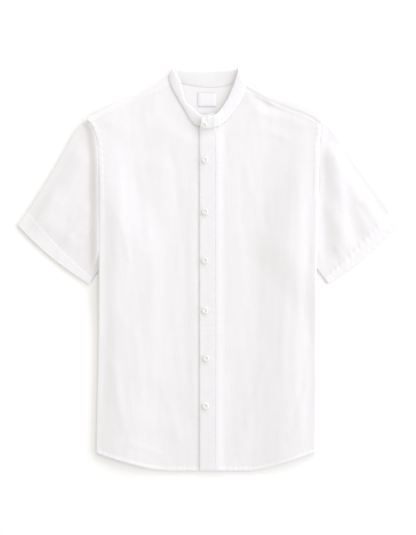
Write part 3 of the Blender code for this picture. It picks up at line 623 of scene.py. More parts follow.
def yoke_corner(side):
    """Where the front's neck edge meets the yoke's flap."""
    y = np.arange(side.seam_neck[-1][0], side.seam_neck[0][0], -CORNER_STEP)
    x = read(side.seam_neck, y)
    met = int(np.argmax(y <= flap_edge_y(side, x)))
    return float(x[met]), float(y[met])


def front_top_y(side):
    """Where the front's armhole edge meets the yoke's flap."""
    return settle(lambda y: float(flap_edge_y(side, edge_x(side, y))) + YOKE_TUCK, ROLL_TOP_Y, 6)


def front_top(side):
    """The front's upper edge on the blank: distances across and their y, in order."""
    corner = yoke_corner(side)
    neck = []
    for y, x in side.seam_neck:
        if y < corner[1] - CORNER_ROOM:
            shift = Vector((NECK_CENTRE[0] - x, NECK_CENTRE[1] - y)).normalized() * NECK_TUCK
            neck.append((x + shift.x, y + shift.y))
    end_y = front_top_y(side)
    seam_xs = np.linspace(corner[0] - FLAP_ENDS[0], float(edge_x(side, end_y)) - FLAP_ENDS[1],
                          FLAP_STOPS)
    seam_ys = [float(flap_edge_y(side, x)) + YOKE_TUCK for x in seam_xs]
    under_flap = [(float(blank_x(side, x, y)), y) for x, y in zip(seam_xs, seam_ys)]
    roll = [(FOLD_AT + AIR, end_y), (FOLD_AT + FRONT_ROLL, ROLL_HALF_Y),
            (FRONT_QUARTER, ROLL_FULL_Y)]
    return np.array(neck + under_flap + roll).T


def panel_rows(top, split, bottom_stops):
    """Rows that are fixed below split and reach the panel's own top above it."""
    low = spaced(bottom_stops + (split,), FINE)
    high = np.linspace(0.0, 1.0, max(2, round((np.max(top) - split) / FINE)) + 1)[1:]
    rows = [np.full(top.shape, y) for y in low]
    rows += [split + share * (top - split) for share in high]
    return np.stack(rows), len(low) - 1


def to_armhole(along, us, armhole, strip):
    """Shorten the strip's columns, so that they end at the armhole's curve."""
    ends = np.interp(us, *zip(*armhole))
    shrink = np.where(strip, (ends - HEM_Y) / (ARMHOLE_RISE_Y - HEM_Y), 1.0)
    return HEM_Y + (along - HEM_Y) * shrink


def make_front(side, inner, join):
    """A front: its panel, its side fold and the strip turned under."""
    felled = FOLD_AT - FELL_WIDTH
    us = spaced((inner, *HEM_START_COLUMNS, *FELL_COLUMNS, FOLD_AT, FRONT_QUARTER,
                 FOLD_AT + math.pi * FRONT_ROLL, SIDE_SEAM_AT),
                (FINE, FINE, FINE, FINE, CLOSE, CLOSE, TURNING, CLOSE, COARSE))
    strip = us > FRONT_QUARTER + AIR
    top = np.interp(us, *front_top(side))
    along, split = panel_rows(np.where(strip, ARMHOLE_RISE_Y, top), ARMHOLE_RISE_Y,
                              HEM_EDGE_ROWS + HEM_SEAM_ROWS)
    along = to_armhole(along, us, ARMHOLE, strip)
    across, keep = cut_out(us, along, split, strip)
    lay = lay_body(side, FRONT_ROLL, front_level, front_seams(side), join, 1.0)
    half = edge_half(along - HEM_Y, SHELL)
    doubled = FELL_SHADE[side.name] * smooth(across, felled - SEWN, felled + SEWN)
    doubled = np.maximum(in_hem(along), doubled * smooth(along, *FELL_START_Y))
    name = "front_" + side.name
    piece = make_shell(name + "_linen", lay, across, along, half, keep, doubled)
    finish_cloth(piece, name)
    return lay


def make_back():
    """The back panel, with both of its sides turned under."""
    turn_end = FOLD_AT + math.pi * BACK_ROLL
    side_seam = SIDE_SEAM_AT - math.pi * LAYER
    half_us = spaced((0.0, FINE_FROM, FOLD_AT, turn_end, side_seam),
                     (COARSE, FINE, TURNING, COARSE))
    us = np.concatenate([-half_us[:0:-1], half_us])
    strip = np.abs(us) > FOLD_AT
    rows = spaced((HEM_Y, *HEM_SEAM_ROWS, ARMHOLE_RISE_Y, BACK_YOKE_Y - AIR), COARSE)
    armhole = [(x - math.pi * LAYER, y) for x, y in ARMHOLE]
    along = to_armhole(np.repeat(rows[:, None], len(us), axis=1), np.abs(us), armhole, strip)
    across, keep = cut_out(us, along, int(np.argmax(rows > ARMHOLE_RISE_Y - AIR)), strip)
    lays = {side.sign: lay_body(side, BACK_ROLL, lambda _side, x, y: back_level(x, y),
                                lambda _across, _along: 0.0) for side in SIDES}

    def lay(across, along, off):
        left = lays[1](np.abs(across), along, off)
        right = lays[-1](np.abs(across), along, off)
        return np.where((across >= 0)[..., None], left, right)

    half = edge_half(along - HEM_Y, SHELL)
    piece = make_shell("back_linen", lay, across, along, half, keep, in_hem(along))
    finish_cloth(piece, "back")
    return lay


# How far the placket reaches on under the collar: x, distance
PLACKET_REACH = ((-16.2, 1.6), (0.0, 2.9), (8.0, 4.4), (14.8, 5.8))
PLACKET_LIFT = 0.8     # it climbs by this much there, over this length
PLACKET_CLIMB = 14.0
PLACKET_GROOVE = 0.16
PLACKET_EDGE_COLUMNS = (0.8, 2.6)      # from each edge, besides one still closer
PLACKET_RIM_COLUMN = 0.25
PLACKET_ROWS = 2.4
PLACKET_RIPPLE_FADE = (0.0, 8.0)


def make_placket():
    """The front band: three layers, stitched down along both edges."""
    near, far = PLACKET_EDGE_COLUMNS
    us = spaced((PLACKET_FROM_X, PLACKET_FROM_X + near, PLACKET_FROM_X + far, PLACKET_TO_X - far,
                 PLACKET_TO_X - near, PLACKET_TO_X), CLOSE)
    rims = [PLACKET_FROM_X + PLACKET_RIM_COLUMN, PLACKET_TO_X - PLACKET_RIM_COLUMN]
    us = np.unique(np.concatenate([us, rims]))
    across, along = np.meshgrid(us, spaced((*HEM_EDGE_ROWS, PLACKET_TOP_Y), PLACKET_ROWS))

    def lay(x, y, off):
        from_side = np.minimum(x - PLACKET_FROM_X, PLACKET_TO_X - x)
        below = np.where(x >= 0, front_level(LEFT, np.abs(x), y),
                         front_level(RIGHT, np.abs(x), y))
        fine = groove(from_side, PLACKET_GROOVE)
        fine = fine + gathers("placket", y, from_side - EDGE_STITCH)
        fine = fine + ripples("placket", x, y) * smooth(from_side, *PLACKET_RIPPLE_FADE)
        under_collar = smooth(y, PLACKET_TOP_Y - PLACKET_CLIMB, PLACKET_TOP_Y)
        level = below + CLOTH / 2 + HALF_BAND + PLACKET_LIFT * under_collar
        y = y + under_collar * read(PLACKET_REACH, x)
        return np.stack([x, y, level + off + fine * (off > 0)], axis=-1)

    half = np.minimum(edge_half(np.minimum(across - PLACKET_FROM_X, along - HEM_Y), HALF_BAND,
                                BAND_ROUND),
                      edge_half(PLACKET_TO_X - across, HALF_BAND, EDGE_ROUND / 2))
    piece = make_shell("placket_linen", lay, across, along, half, None, np.ones(across.shape))
    finish_cloth(piece, "placket",
                 "linen_band")
    return lay


def finish_cloth(piece, node, finish="linen"):
    """Put a cloth piece in its node's place, with its finish, and hide the node's solid."""
    piece.data.materials.append(LOOKS[finish])
    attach(piece, ROOT)
    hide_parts(node)


# ------ yoke and label

# The back's neck edge: x, y
BACK_NECK = ((-76.2, 363.6), (-62, 355.6), (-45, 351.0), (-22, 346.4), (0, 344.2), (20, 344.8),
             (45, 350.2), (60, 353.4), (76.0, 358.0))
NECK_REACH = 1.0       # the yoke meets the collar band without a gap
NECK_LAP = 3.2         # and its shoulder fold runs on under the band
YOKE_DOUBLED = 0.35    # how far its layers brighten the back part, and the flap's seam
FLAP_DOUBLED = 0.7
FLAP_REST = 0.05       # height of the flap over the front, between its seams
FLAP_RISE = 0.2        # over its seam allowance
FLAP_SEAM = (11.0, 6.5)
FLAP_FALL = 0.35       # and down again at its turned edge
FLAP_EDGE = (5.0, 0.0)
FLAP_GROOVE = 0.10
FLAP_START = (0.0, 0.25)       # share of the flap's depth, where its own relief fades in
SHOULDER_GUESS_Y = 300.0
YOKE_COLUMNS = (0.0, 66.0, 84.0, 190.0, FOLD_AT)
YOKE_BACK_ROWS = 36
YOKE_TURN_ROWS = 9
YOKE_FLAP_ROWS = ((0.0, 0.8, 8), (0.8, 1.0, 7))    # from and to these shares, and how many

LABEL_WIDTH = 34.0
LABEL_HEIGHT = 27.5
LABEL_CENTRE = (-1.9, 322.8)
LABEL_BORDER_AT = 12.6         # from the label's middle to a woven line along its edge
LABEL_BORDER = 0.8
LABEL_HALF = 0.22
LABEL_OVER = 0.1               # above the back's cloth at its edges
LABEL_SWELL = 0.35             # and this much more inside them
LABEL_SWELL_IN = 6.0


def yoke_fold_y(x):
    """Where the shoulder folds begin; between the two necks it runs straight across."""
    reach = (YOKE_ROLL + CLOTH / 2) / math.cos(SHOULDER_SLOPE)
    away = np.maximum(np.abs(x), SPREAD_FROM)
    share = smooth(x, -SPREAD_FROM, SPREAD_FROM)
    return share * read(LEFT.shoulder, away) + (1 - share) * read(RIGHT.shoulder, away) - reach


def yoke_x(side, s, y):
    """The yoke's blank is as wide as the back's, and follows the laid edge outwards."""
    return s + (edge_x(side, y) - FOLD_AT) * smooth(s, SPREAD_FROM, FOLD_AT)


def flap_raise(side, x, y):
    """The flap's seam allowance, its line of stitches and the gathers beside it."""
    inset = y - flap_edge_y(side, x)
    allowance = FLAP_RISE * smooth(inset, *FLAP_SEAM) - FLAP_FALL * smooth(inset, *FLAP_EDGE)
    return (FLAP_REST + allowance + groove(inset, FLAP_GROOVE)
            + gathers("flap", x, inset - EDGE_STITCH, side.sign))


def on_flap(side, x, y, off):
    """Height of the yoke's front flap; off is counted up."""
    return (back_level(x, y) + 2 * YOKE_ROLL + off + relief(side, x, y)
            + flap_raise(side, x, y) * (off > 0))


def lay_yoke_side(side, s, back_rows, turns, flap_rows):
    """Places of one side of the yoke's grid, as a function of the offset."""
    neck_x = abs(BACK_NECK[-1][0] if side.sign > 0 else BACK_NECK[0][0]) - NECK_LAP
    y_top = settle(lambda y: yoke_fold_y(side.sign * yoke_x(side, s, y)),
                   np.full(s.shape, SHOULDER_GUESS_Y), 12)
    x_top = yoke_x(side, s, y_top)
    inside = x_top < neck_x
    y_end = np.where(inside, read(BACK_NECK, side.sign * x_top) + NECK_REACH, y_top)
    back_ys = [BACK_YOKE_Y + share * (y_end - BACK_YOKE_Y) for share in back_rows]
    corner_x = yoke_corner(side)[0] - NECK_TUCK
    outer_x, outer_y = float(x_top[-1]), float(y_top[-1])
    outer_depth = outer_y - float(flap_edge_y(side, outer_x))
    part = (x_top - neck_x) / (outer_x - neck_x)

    def lay(off):
        rows = []
        for y in back_ys:
            x = yoke_x(side, s, y)
            rows.append((x, y, back_level(x, y) + off))
        base = back_level(x_top, y_top)
        radius = YOKE_ROLL - off
        for turn in turns:
            y = y_top + radius * math.sin(turn) / math.cos(SHOULDER_SLOPE)
            rows.append((x_top, y, base + YOKE_ROLL - radius * math.cos(turn)))
        for share in flap_rows:
            inner = neck_x + (corner_x - neck_x) * share
            outer = float(edge_x(side, outer_y - share * outer_depth))
            x = inner + part * (outer - inner)
            y = y_top + share * (flap_edge_y(side, x) - y_top)
            plain = back_level(x, y) + 2 * YOKE_ROLL - off + relief(side, x, y)
            lifted = smooth(share, *FLAP_START) * (on_flap(side, x, y, -off) - plain)
            rows.append((x, y, plain + lifted))
        return np.stack([np.stack([side.sign * x, y, z], axis=-1) for x, y, z in rows])

    depth = y_top - flap_edge_y(side, x_top)
    along = back_ys + [y_top + YOKE_ROLL * turn for turn in turns]
    along += [y_top + YOKE_ROLL * math.pi + share * depth for share in flap_rows]
    return lay, np.stack(along), inside


def make_yoke():
    """The yoke: its back part, both shoulder folds and the flaps over the fronts."""
    half_us = spaced(YOKE_COLUMNS, FINE)
    back_rows = np.linspace(0.0, 1.0, YOKE_BACK_ROWS)
    turns = np.linspace(0.0, math.pi, YOKE_TURN_ROWS)[1:]
    flap_rows = np.concatenate([np.linspace(*rows)[1:] for rows in YOKE_FLAP_ROWS])
    (lay_left, along_left, inside_left), (lay_right, along_right, inside_right) = [
        lay_yoke_side(side, half_us, back_rows, turns, flap_rows) for side in SIDES]

    def lay(_across, _along, off):
        off = float(np.max(off)) if np.max(off) > 0 else float(np.min(off))
        return np.concatenate([lay_right(off)[:, :0:-1], lay_left(off)], axis=1)

    along = np.concatenate([along_right[:, :0:-1], along_left], axis=1)
    us = np.concatenate([-half_us[:0:-1], half_us])
    inside = np.concatenate([inside_right[:0:-1], inside_left])
    across, keep = cut_out(us, along, len(back_rows) - 1, inside)
    doubled = np.full(across.shape, YOKE_DOUBLED)
    doubled[-len(flap_rows) - 2:] = FLAP_DOUBLED
    half = np.full(across.shape, SHELL)
    piece = make_shell("yoke_linen", lay, across, along, half, keep, doubled)
    finish_cloth(piece, "yoke")


def from_rim(u, v, width, height):
    """Distance to the nearest edge of a rectangular cut."""
    return np.minimum(np.minimum(u, width - u), np.minimum(v, height - v))


def make_label():
    """A plain woven label, sewn down along its four sides; nothing is written on it."""
    x0, y0 = LABEL_CENTRE[0] - LABEL_WIDTH / 2, LABEL_CENTRE[1] - LABEL_HEIGHT / 2
    across, along = np.meshgrid(spaced((0.0, LABEL_WIDTH), 1.0), spaced((0.0, LABEL_HEIGHT), 1.0))

    def lay(u, v, off):
        inside = smooth(from_rim(u, v, LABEL_WIDTH, LABEL_HEIGHT), 0, LABEL_SWELL_IN)
        z = CLOTH + AIR + LABEL_OVER + LABEL_SWELL * inside + off
        return np.stack([x0 + u, y0 + v, z + ripples("label", u, v)], axis=-1)

    half = edge_half(from_rim(across, along, LABEL_WIDTH, LABEL_HEIGHT), LABEL_HALF)
    piece = make_shell("label_woven", lay, across, along, half)
    finish_cloth(piece, "label", "label")
    return lay


# ------ sleeves

# Soft folds of both sleeves, as in the solids: distance, y, distance, y, half width, height
SLEEVE_FOLDS = (
    (240, 205, 300, 90, 24, 2.4),
    (232, 110, 262, 60, 18, 1.6),
    (300, 130, 330, 92, 20, 1.6),
)
# Creases of each sleeve, in the same columns. The left one has two broad swells.
SLEEVE_CREASES = {
    "left": (
        (244, 214, 252, 50, 22, 2.8),
        (288, 160, 300, 84, 22, 1.0),
        (262, 190, 284, 130, 7, 0.35),
        (252, 150, 262, 70, 8, 0.35),
        (290, 120, 316, 76, 6, -0.35),
        (244, 40, 262, 8, 6, 0.35),
        (300, 72, 322, 92, 6, 0.30),
    ),
    "right": (
        (214, 200, 222, 110, 7, -0.45),
        (210, 96, 236, 68, 6, 0.55),
        (240, 160, 262, 100, 8, 0.30),
        (272, 160, 296, 112, 7, -0.28),
        (262, 60, 284, 30, 7, 0.30),
        (300, 110, 322, 84, 6, 0.25),
    ),
}
SLEEVE_FOLD_SHARE = {"left": 0.5, "right": 0.9}    # of the solids' height
CUFF_GATHERS = {"left": 0.2, "right": 0.12}
SLEEVE_FADE = (3.0, 30.0)      # folds fade in from the fold and the underarm
SLEEVE_SEAM_FADE = (1.0, 18.0)     # and from the armhole
CUFF_FADE = (2.0, 10.0)
SEAM_STEP = 0.25       # the sleeve's seam lies this far below the front's face
SEAM_RISE = {"left": 1.0, "right": 5.0}    # and at most this far above the sleeve's cloth
SEAM_CLIMB = (18.0, 1.5)       # it climbs towards the front's edge
SEAM_DIVE = (-5.5, -3.0)       # and dives under it
SEAM_FOLD_FADE = (0.5, 7.0)
SEAM_UNDERARM_FADE = (3.0, 26.0)

# Stops on the sleeve's blank: end of the top layer, end of the fold, end of the lower layer
SLEEVE_TOP_END = UNDERARM_TURN + SLEEVE_WIDTH
SLEEVE_FOLD_END = SLEEVE_TOP_END + SLEEVE_FOLD_TURN
SLEEVE_CUT = SLEEVE_FOLD_END + SLEEVE_WIDTH
CUFF_AT = SLEEVE_LENGTH - CUFF_HEM
CUFF_RAMP = (CUFF_AT - 2.4, CUFF_AT + 0.8)
CUFF_SEWN = (CUFF_AT - 0.6, CUFF_AT + 0.4)
SLEEVE_STEPS = (TURNING, 2.4, 0.5, COARSE)
CUFF_ROWS = (CUFF_AT - 2.0, CUFF_AT + 2.0, SLEEVE_LENGTH - 1.6)
CUFF_STEPS = (FINE, 0.8, 2.2, 0.4)


def along_fold(side, share):
    """Points of the sleeve's folded edge, at shares of its length."""
    rows = np.array(side.fold)
    lengths = np.concatenate([[0.0], np.cumsum(np.hypot(*np.diff(rows, axis=0).T))])
    at = share * lengths[-1]
    x = read(list(zip(lengths, rows[:, 0])), at)
    y = read(list(zip(lengths, rows[:, 1])), at)
    return np.stack([x, y], axis=-1)


def sleeve_relief(side, x, y, along, sleeve_in, from_underarm):
    """Folds, creases and ripples of a sleeve, and the gathers beside its hem's stitches."""
    height = SLEEVE_FOLD_SHARE[side.name] * ridges(SLEEVE_FOLDS, x, y)
    height = height + ridges(SLEEVE_CREASES[side.name], x, y)
    height = height + ripples("sleeve", x, y, side.sign)
    height = height * smooth(sleeve_in, *SLEEVE_FADE) * smooth(from_underarm, *SLEEVE_FADE)
    height = height * smooth(x - edge_x(side, y), *SLEEVE_SEAM_FADE)
    puckers = (gathers("cuff", sleeve_in, along - CUFF_AT, side.sign)
               + gathers("cuff_edge", sleeve_in, along - SLEEVE_LENGTH, side.sign))
    puckers = puckers * smooth(sleeve_in, *CUFF_FADE) * smooth(from_underarm, *CUFF_FADE)
    return height + CUFF_GATHERS[side.name] * puckers


def seam_rise(side, x, y, sleeve_in, from_underarm):
    """The sleeve climbs to the armhole seam, and dives under the front's rolled edge."""
    edge = edge_x(side, y)
    full = front_level(side, edge, y) - edge_drop(side, edge, y) - SEAM_STEP - SLEEVE_LEVEL
    climb = smooth(x - edge, *SEAM_CLIMB) * smooth(x - edge, *SEAM_DIVE)
    fade = smooth(sleeve_in, *SEAM_FOLD_FADE) * smooth(from_underarm, *SEAM_UNDERARM_FADE)
    return np.clip(full, 0.0, SEAM_RISE[side.name]) * climb * fade


def lay_sleeve(side):
    """The blank runs from the underarm over the top to the fold, and back below."""
    cap = np.array(side.cap)
    inner_hem = np.array(side.cuff[0])
    first = SLEEVE_ROLL + CLOTH / 2

    def lay(across, along, off):
        share = along / SLEEVE_LENGTH
        nose = along_fold(side, share)
        chord = cap + (inner_hem - cap) * share[..., None] - nose
        length = np.hypot(chord[..., 0], chord[..., 1])
        chord = chord / length[..., None]
        out = np.stack([chord[..., 1], -chord[..., 0]], axis=-1)
        out = np.where(out[..., 1:] > 0, -out, out)
        ridge = CUFF_RIDGE * smooth(along, *CUFF_RAMP) * (off > 0)
        off = off + np.where(across < SLEEVE_TOP_END, ridge, 0.0)
        last = length - UNDERARM_ROLL - CLOTH / 2
        turn = math.pi / 2 - np.clip(across / UNDERARM_ROLL, 0, math.pi / 2)
        under_from = last + (UNDERARM_ROLL + off) * np.sin(turn)
        under_z = SLEEVE_LEVEL - UNDERARM_ROLL + (UNDERARM_ROLL + off) * np.cos(turn)
        top_from = last + (first - last) * (across - UNDERARM_TURN) / SLEEVE_WIDTH
        turn = np.clip((across - SLEEVE_TOP_END) / SLEEVE_ROLL, 0, math.pi)
        fold_from = first - (SLEEVE_ROLL + off) * np.sin(turn)
        fold_z = CLOTH / 2 + SLEEVE_ROLL + (SLEEVE_ROLL + off) * np.cos(turn)
        end = last + UNDER_REACH
        low_from = first + (end - first) * (across - SLEEVE_FOLD_END) / SLEEVE_WIDTH
        where = [across < UNDERARM_TURN, across <= SLEEVE_TOP_END, across < SLEEVE_FOLD_END]
        sleeve_in = np.select(where, [under_from, top_from, fold_from], low_from)
        z = np.select(where, [under_z, SLEEVE_LEVEL + off, fold_z], CLOTH / 2 - off)
        part = sleeve_in / length
        bow = side.cuff[1] * share**2 * 4 * part * (1 - part)
        place = nose + chord * sleeve_in[..., None] + out * bow[..., None]
        x, y = place[..., 0], place[..., 1]
        soft = sleeve_relief(side, x, y, along, sleeve_in, length - sleeve_in)
        soft = soft + seam_rise(side, x, y, sleeve_in, length - sleeve_in)
        z = z + np.where(where[1] & ~where[0], soft, 0.0)
        return np.stack([side.sign * x, y, z], axis=-1)

    return lay


def make_sleeve(side):
    """A sleeve, folded double, with its hem turned up."""
    us = spaced((0.0, UNDERARM_TURN, SLEEVE_TOP_END, SLEEVE_FOLD_END, SLEEVE_CUT), SLEEVE_STEPS)
    across, along = np.meshgrid(us, spaced((0.0, *CUFF_ROWS, SLEEVE_LENGTH), CUFF_STEPS))
    half = edge_half(SLEEVE_LENGTH - along, SHELL)
    name = "sleeve_" + side.name
    lay = lay_sleeve(side)
    piece = make_shell(name + "_linen", lay, across, along, half, None,
                       smooth(along, *CUFF_SEWN))
    finish_cloth(piece, name)
    return lay


# ------ collar

# Stations round the collar band, from the upper end at the centre front, round the
# wearer's left, the back and the wearer's right, to the lower end.
# Columns: neck seam x, y, z and top edge x, y, z, in the middle of the band's wall.
COLLAR = (
    (-16.2, 266.4, 5.4, -13.5, 288.0, 9.6),
    (0.0, 267.3, 5.4, 1.0, 290.2, 9.5),
    (15.0, 270.6, 5.0, 15.0, 294.6, 9.3),
    (26.0, 276.2, 4.2, 22.6, 302.4, 9.0),
    (36.5, 285.2, 3.8, 29.5, 311.6, 8.8),
    (47.6, 299.2, 3.8, 38.0, 326.1, 8.6),
    (59.0, 314.6, 3.9, 45.4, 342.4, 8.4),
    (67.6, 333.0, 4.3, 51.4, 359.8, 8.2),
    (72.6, 349.4, 4.4, 55.6, 373.6, 7.8),
    (74.6, 357.2, 3.6, 57.2, 381.4, 7.0),
    (74.2, 359.6, 2.2, 57.0, 383.0, 6.2),
    (71.0, 358.8, 1.0, 54.6, 382.2, 5.2),
    (60.0, 354.9, 0.8, 47.0, 379.6, 4.0),
    (45.0, 351.3, 0.8, 37.0, 378.4, 2.4),
    (20.0, 345.9, 0.8, 17.0, 377.8, 0.8),
    (0.0, 345.3, 0.8, 0.0, 377.8, 0.8),
    (-22.0, 347.5, 0.8, -20.0, 378.0, 2.0),
    (-45.0, 352.1, 0.8, -42.0, 378.6, 4.0),
    (-60.0, 356.2, 0.8, -57.0, 380.6, 5.7),
    (-71.4, 364.8, 1.0, -64.6, 382.4, 7.0),
    (-75.0, 369.6, 2.2, -66.4, 383.0, 8.2),
    (-75.2, 366.6, 3.6, -65.4, 380.8, 8.8),
    (-72.2, 354.0, 4.4, -59.6, 371.8, 9.0),
    (-66.6, 341.0, 4.4, -52.6, 358.0, 9.0),
    (-56.0, 322.8, 4.0, -48.0, 341.4, 9.0),
    (-43.6, 300.8, 3.6, -43.0, 320.2, 8.7),
    (-30.6, 279.8, 3.4, -29.5, 307.4, 7.9),
    (-16.0, 271.6, 3.4, -15.4, 294.4, 7.6),
    (0.0, 270.8, 3.4, -1.0, 293.6, 7.7),
    (13.0, 273.4, 3.2, 12.0, 297.6, 7.4),
)
STATION = 20.0
COLLAR_WIDTH = 31.0
COLLAR_BULGE = 0.5
COLLAR_CLIMB = 1.4
COLLAR_GROOVE = 0.12
COLLAR_FREE = (BAND, 3 * BAND)     # heights over which the band comes free of the cloth
COLLAR_LYING = (4.0, 2.0)          # and below which its upper edge waves
COLLAR_WAVE = GATHERS["collar_edge"][0]
COLLAR_STEP = 0.05                 # in stations, for the band's direction
# How much of the solid's height over its seam the cloth keeps: station, share
COLLAR_RISE = ((0, 0.5), (15, 0.5), (19, 0.42), (22, 0.2), (26, 0.2), (29, 0.4))
# How far the band sinks on to the fronts: station, distance
COLLAR_SINK = ((0, 0.0), (2, 0.0), (3, 0.6), (4, 1.0), (7, 1.0), (8, 0.7), (10, 0.3), (20, 0.3),
               (22, 1.1), (25, 1.0), (26, 0.6), (27, 0.0), (29, 0.0))
COLLAR_LENGTH = STATION * (len(COLLAR) - 1)    # counted in stations, not along the cloth
COLLAR_END_COLUMN = 0.8
COLLAR_COLUMNS = 1.9
COLLAR_EDGE_ROWS = (0.0, 0.4, 1.0, 2.6)        # from either edge
COLLAR_ROWS = 1.6


def through_stations(at):
    """The collar's seam points and top points, on a smooth curve through the stations."""
    rows = np.array(COLLAR)
    last = len(rows) - 1
    row = np.clip(at.astype(int), 0, last - 1)
    t = (at - row)[..., None]
    p0, p1 = rows[np.maximum(row - 1, 0)], rows[row]
    p2, p3 = rows[row + 1], rows[np.minimum(row + 2, last)]
    values = 0.5 * (2 * p1 + (p2 - p0) * t + (2 * p0 - 5 * p1 + 4 * p2 - p3) * t**2
                    + (3 * p1 - p0 - 3 * p2 + p3) * t**3)
    return values[..., :3], values[..., 3:]


def collar_middle(at, share):
    """The band climbs fast from its seam and flattens towards its free edge."""
    seam, top = through_stations(at)
    middle = seam + (top - seam) * share[..., None]
    climbed = 1 - (1 - np.clip(share, 0.0, 1.0)) ** COLLAR_CLIMB
    sunk = read(COLLAR_SINK, at)
    risen = (top[..., 2] - seam[..., 2]) * climbed * read(COLLAR_RISE, at)
    middle[..., 2] = seam[..., 2] - sunk + risen
    return middle


def lay_collar(along, up, off):
    """off is counted away from the neck."""
    last = len(COLLAR) - 1
    at = np.clip(along / STATION, 0.0, last)
    share = up / COLLAR_WIDTH
    seam_line, top_line = through_stations(at)
    ahead = collar_middle(np.minimum(at + COLLAR_STEP, last), share)
    behind = collar_middle(np.maximum(at - COLLAR_STEP, 0.0), share)
    outward = unit(np.cross(ahead - behind, top_line - seam_line))
    from_edge = np.minimum(up, COLLAR_WIDTH - up)
    middle = collar_middle(at, share)
    bulge = COLLAR_BULGE * 4 * share * (1 - share)
    free = bulge + gathers("collar", along, from_edge - EDGE_STITCH)
    free = free * smooth(middle[..., 2], *COLLAR_FREE)
    push = off + groove(from_edge, COLLAR_GROOVE) * np.sign(off) + free
    place = middle + outward * push[..., None]
    edge_waves = COLLAR_WAVE + gathers("collar_edge", along, up - COLLAR_WIDTH)
    lying = edge_waves * smooth(middle[..., 2], *COLLAR_LYING) * share
    place[..., 2] = np.maximum(place[..., 2] + lying, 0.0)
    return place


def make_collar():
    """The collar band, laid on a grid through its stations."""
    us = spaced((0.0, COLLAR_END_COLUMN, COLLAR_LENGTH - COLLAR_END_COLUMN, COLLAR_LENGTH),
                COLLAR_COLUMNS)
    upper_rows = [COLLAR_WIDTH - row for row in COLLAR_EDGE_ROWS[::-1]]
    across, along = np.meshgrid(us, spaced((*COLLAR_EDGE_ROWS, *upper_rows), COLLAR_ROWS))
    half = edge_half(from_rim(across, along, COLLAR_LENGTH, COLLAR_WIDTH), HALF_BAND, BAND_ROUND)
    piece = make_shell("collar_band_linen", lay_collar, across, along, half)
    finish_cloth(piece, "collar_band",
                 "linen_band")


# ------ thread

Thread = namedtuple("Thread", "centre run out length radius")
THREAD_SIDES = 6
THREAD_RINGS = ((-0.5, 0.45), (0.0, 1.0), (0.5, 0.45))    # share of length, share of radius
THREAD_FLATNESS = 0.8
THREAD_SUNK = 0.4          # of its radius, into the cloth
WAY_OUT_STEP = 0.6         # share of the half wall, for the way out of a face

HOLE_HALF = 7.3            # half a buttonhole's length
HOLE_ROW = 0.82            # from its middle to each row of stitches
HOLE_PITCH = 0.42
HOLE_THREAD = {"length": 1.35, "radius": 0.27}
HOLE_BAR = 1.7             # half the length of the bar at each end
HOLE_BAR_ROWS = (-0.4, 0.0, 0.4)    # before the end of the slit
HOLE_BAR_THREAD = {"pitch": 3.4, "length": 3.2, "radius": 0.3}


def run_on(lay, across, along, half):
    """Points along a line on a piece's face, and the way out from it."""
    across, along = np.broadcast_arrays(np.asarray(across, float), np.asarray(along, float))
    off = np.full(across.shape, half)
    points = lay(across, along, off)
    return points, unit(points - lay(across, along, off * WAY_OUT_STEP))


def sew(points, out, pitch=STITCH_PITCH, length=STITCH_LENGTH, radius=THREAD):
    """Stitches set a pitch apart along a run of points."""
    steps = np.linalg.norm(np.diff(points, axis=0), axis=1)
    lengths = np.concatenate([[0.0], np.cumsum(steps)])
    count = max(1, int(lengths[-1] / pitch))
    at = (np.arange(count) + 0.5) * lengths[-1] / count

    def place(values, where):
        return np.stack([np.interp(where, lengths, values[:, i]) for i in range(3)], axis=-1)

    run = unit(place(points, at + length / 2) - place(points, at - length / 2))
    way_out = place(out, at)
    centre = place(points, at) - way_out * radius * THREAD_SUNK
    return Thread(centre, run, way_out, np.full(count, length), np.full(count, radius))


def seam(lay, across, along, half, **thread):
    """Stitches along a line on a piece's face."""
    return sew(*run_on(lay, across, along, half), **thread)


def make_threads(name, threads):
    """Small tapered rolls of thread, all in one mesh, in the thread's finish."""
    thread = Thread(*[np.concatenate(column) for column in zip(*threads)])
    across = unit(np.cross(thread.run, thread.out))
    out = np.cross(across, thread.run)
    points = []
    for place, girth in THREAD_RINGS:
        centre = thread.centre + thread.run * (thread.length * place)[:, None]
        for side in range(THREAD_SIDES):
            turn = 2 * math.pi * side / THREAD_SIDES
            radial = across * math.cos(turn) + out * math.sin(turn) * THREAD_FLATNESS
            points.append(centre + radial * (thread.radius * girth)[:, None])
    points = np.stack(points, axis=1)
    last = (len(THREAD_RINGS) - 1) * THREAD_SIDES
    faces = [(3, 2, 1, 0), (5, 4, 3, 0),
             (last, last + 1, last + 2, last + 3), (last, last + 3, last + 4, last + 5)]
    for ring in range(0, last, THREAD_SIDES):
        for side in range(THREAD_SIDES):
            a, b = ring + side, ring + (side + 1) % THREAD_SIDES
            faces.append((a, b, b + THREAD_SIDES, a + THREAD_SIDES))
    starts = np.arange(len(thread.centre)) * len(THREAD_RINGS) * THREAD_SIDES
    faces = (np.array(faces)[None] + starts[:, None, None]).reshape(-1, 4)
    made = make_mesh(name, points.reshape(-1, 3), faces)
    made.data.materials.append(LOOKS["thread"])
    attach(made, ROOT)


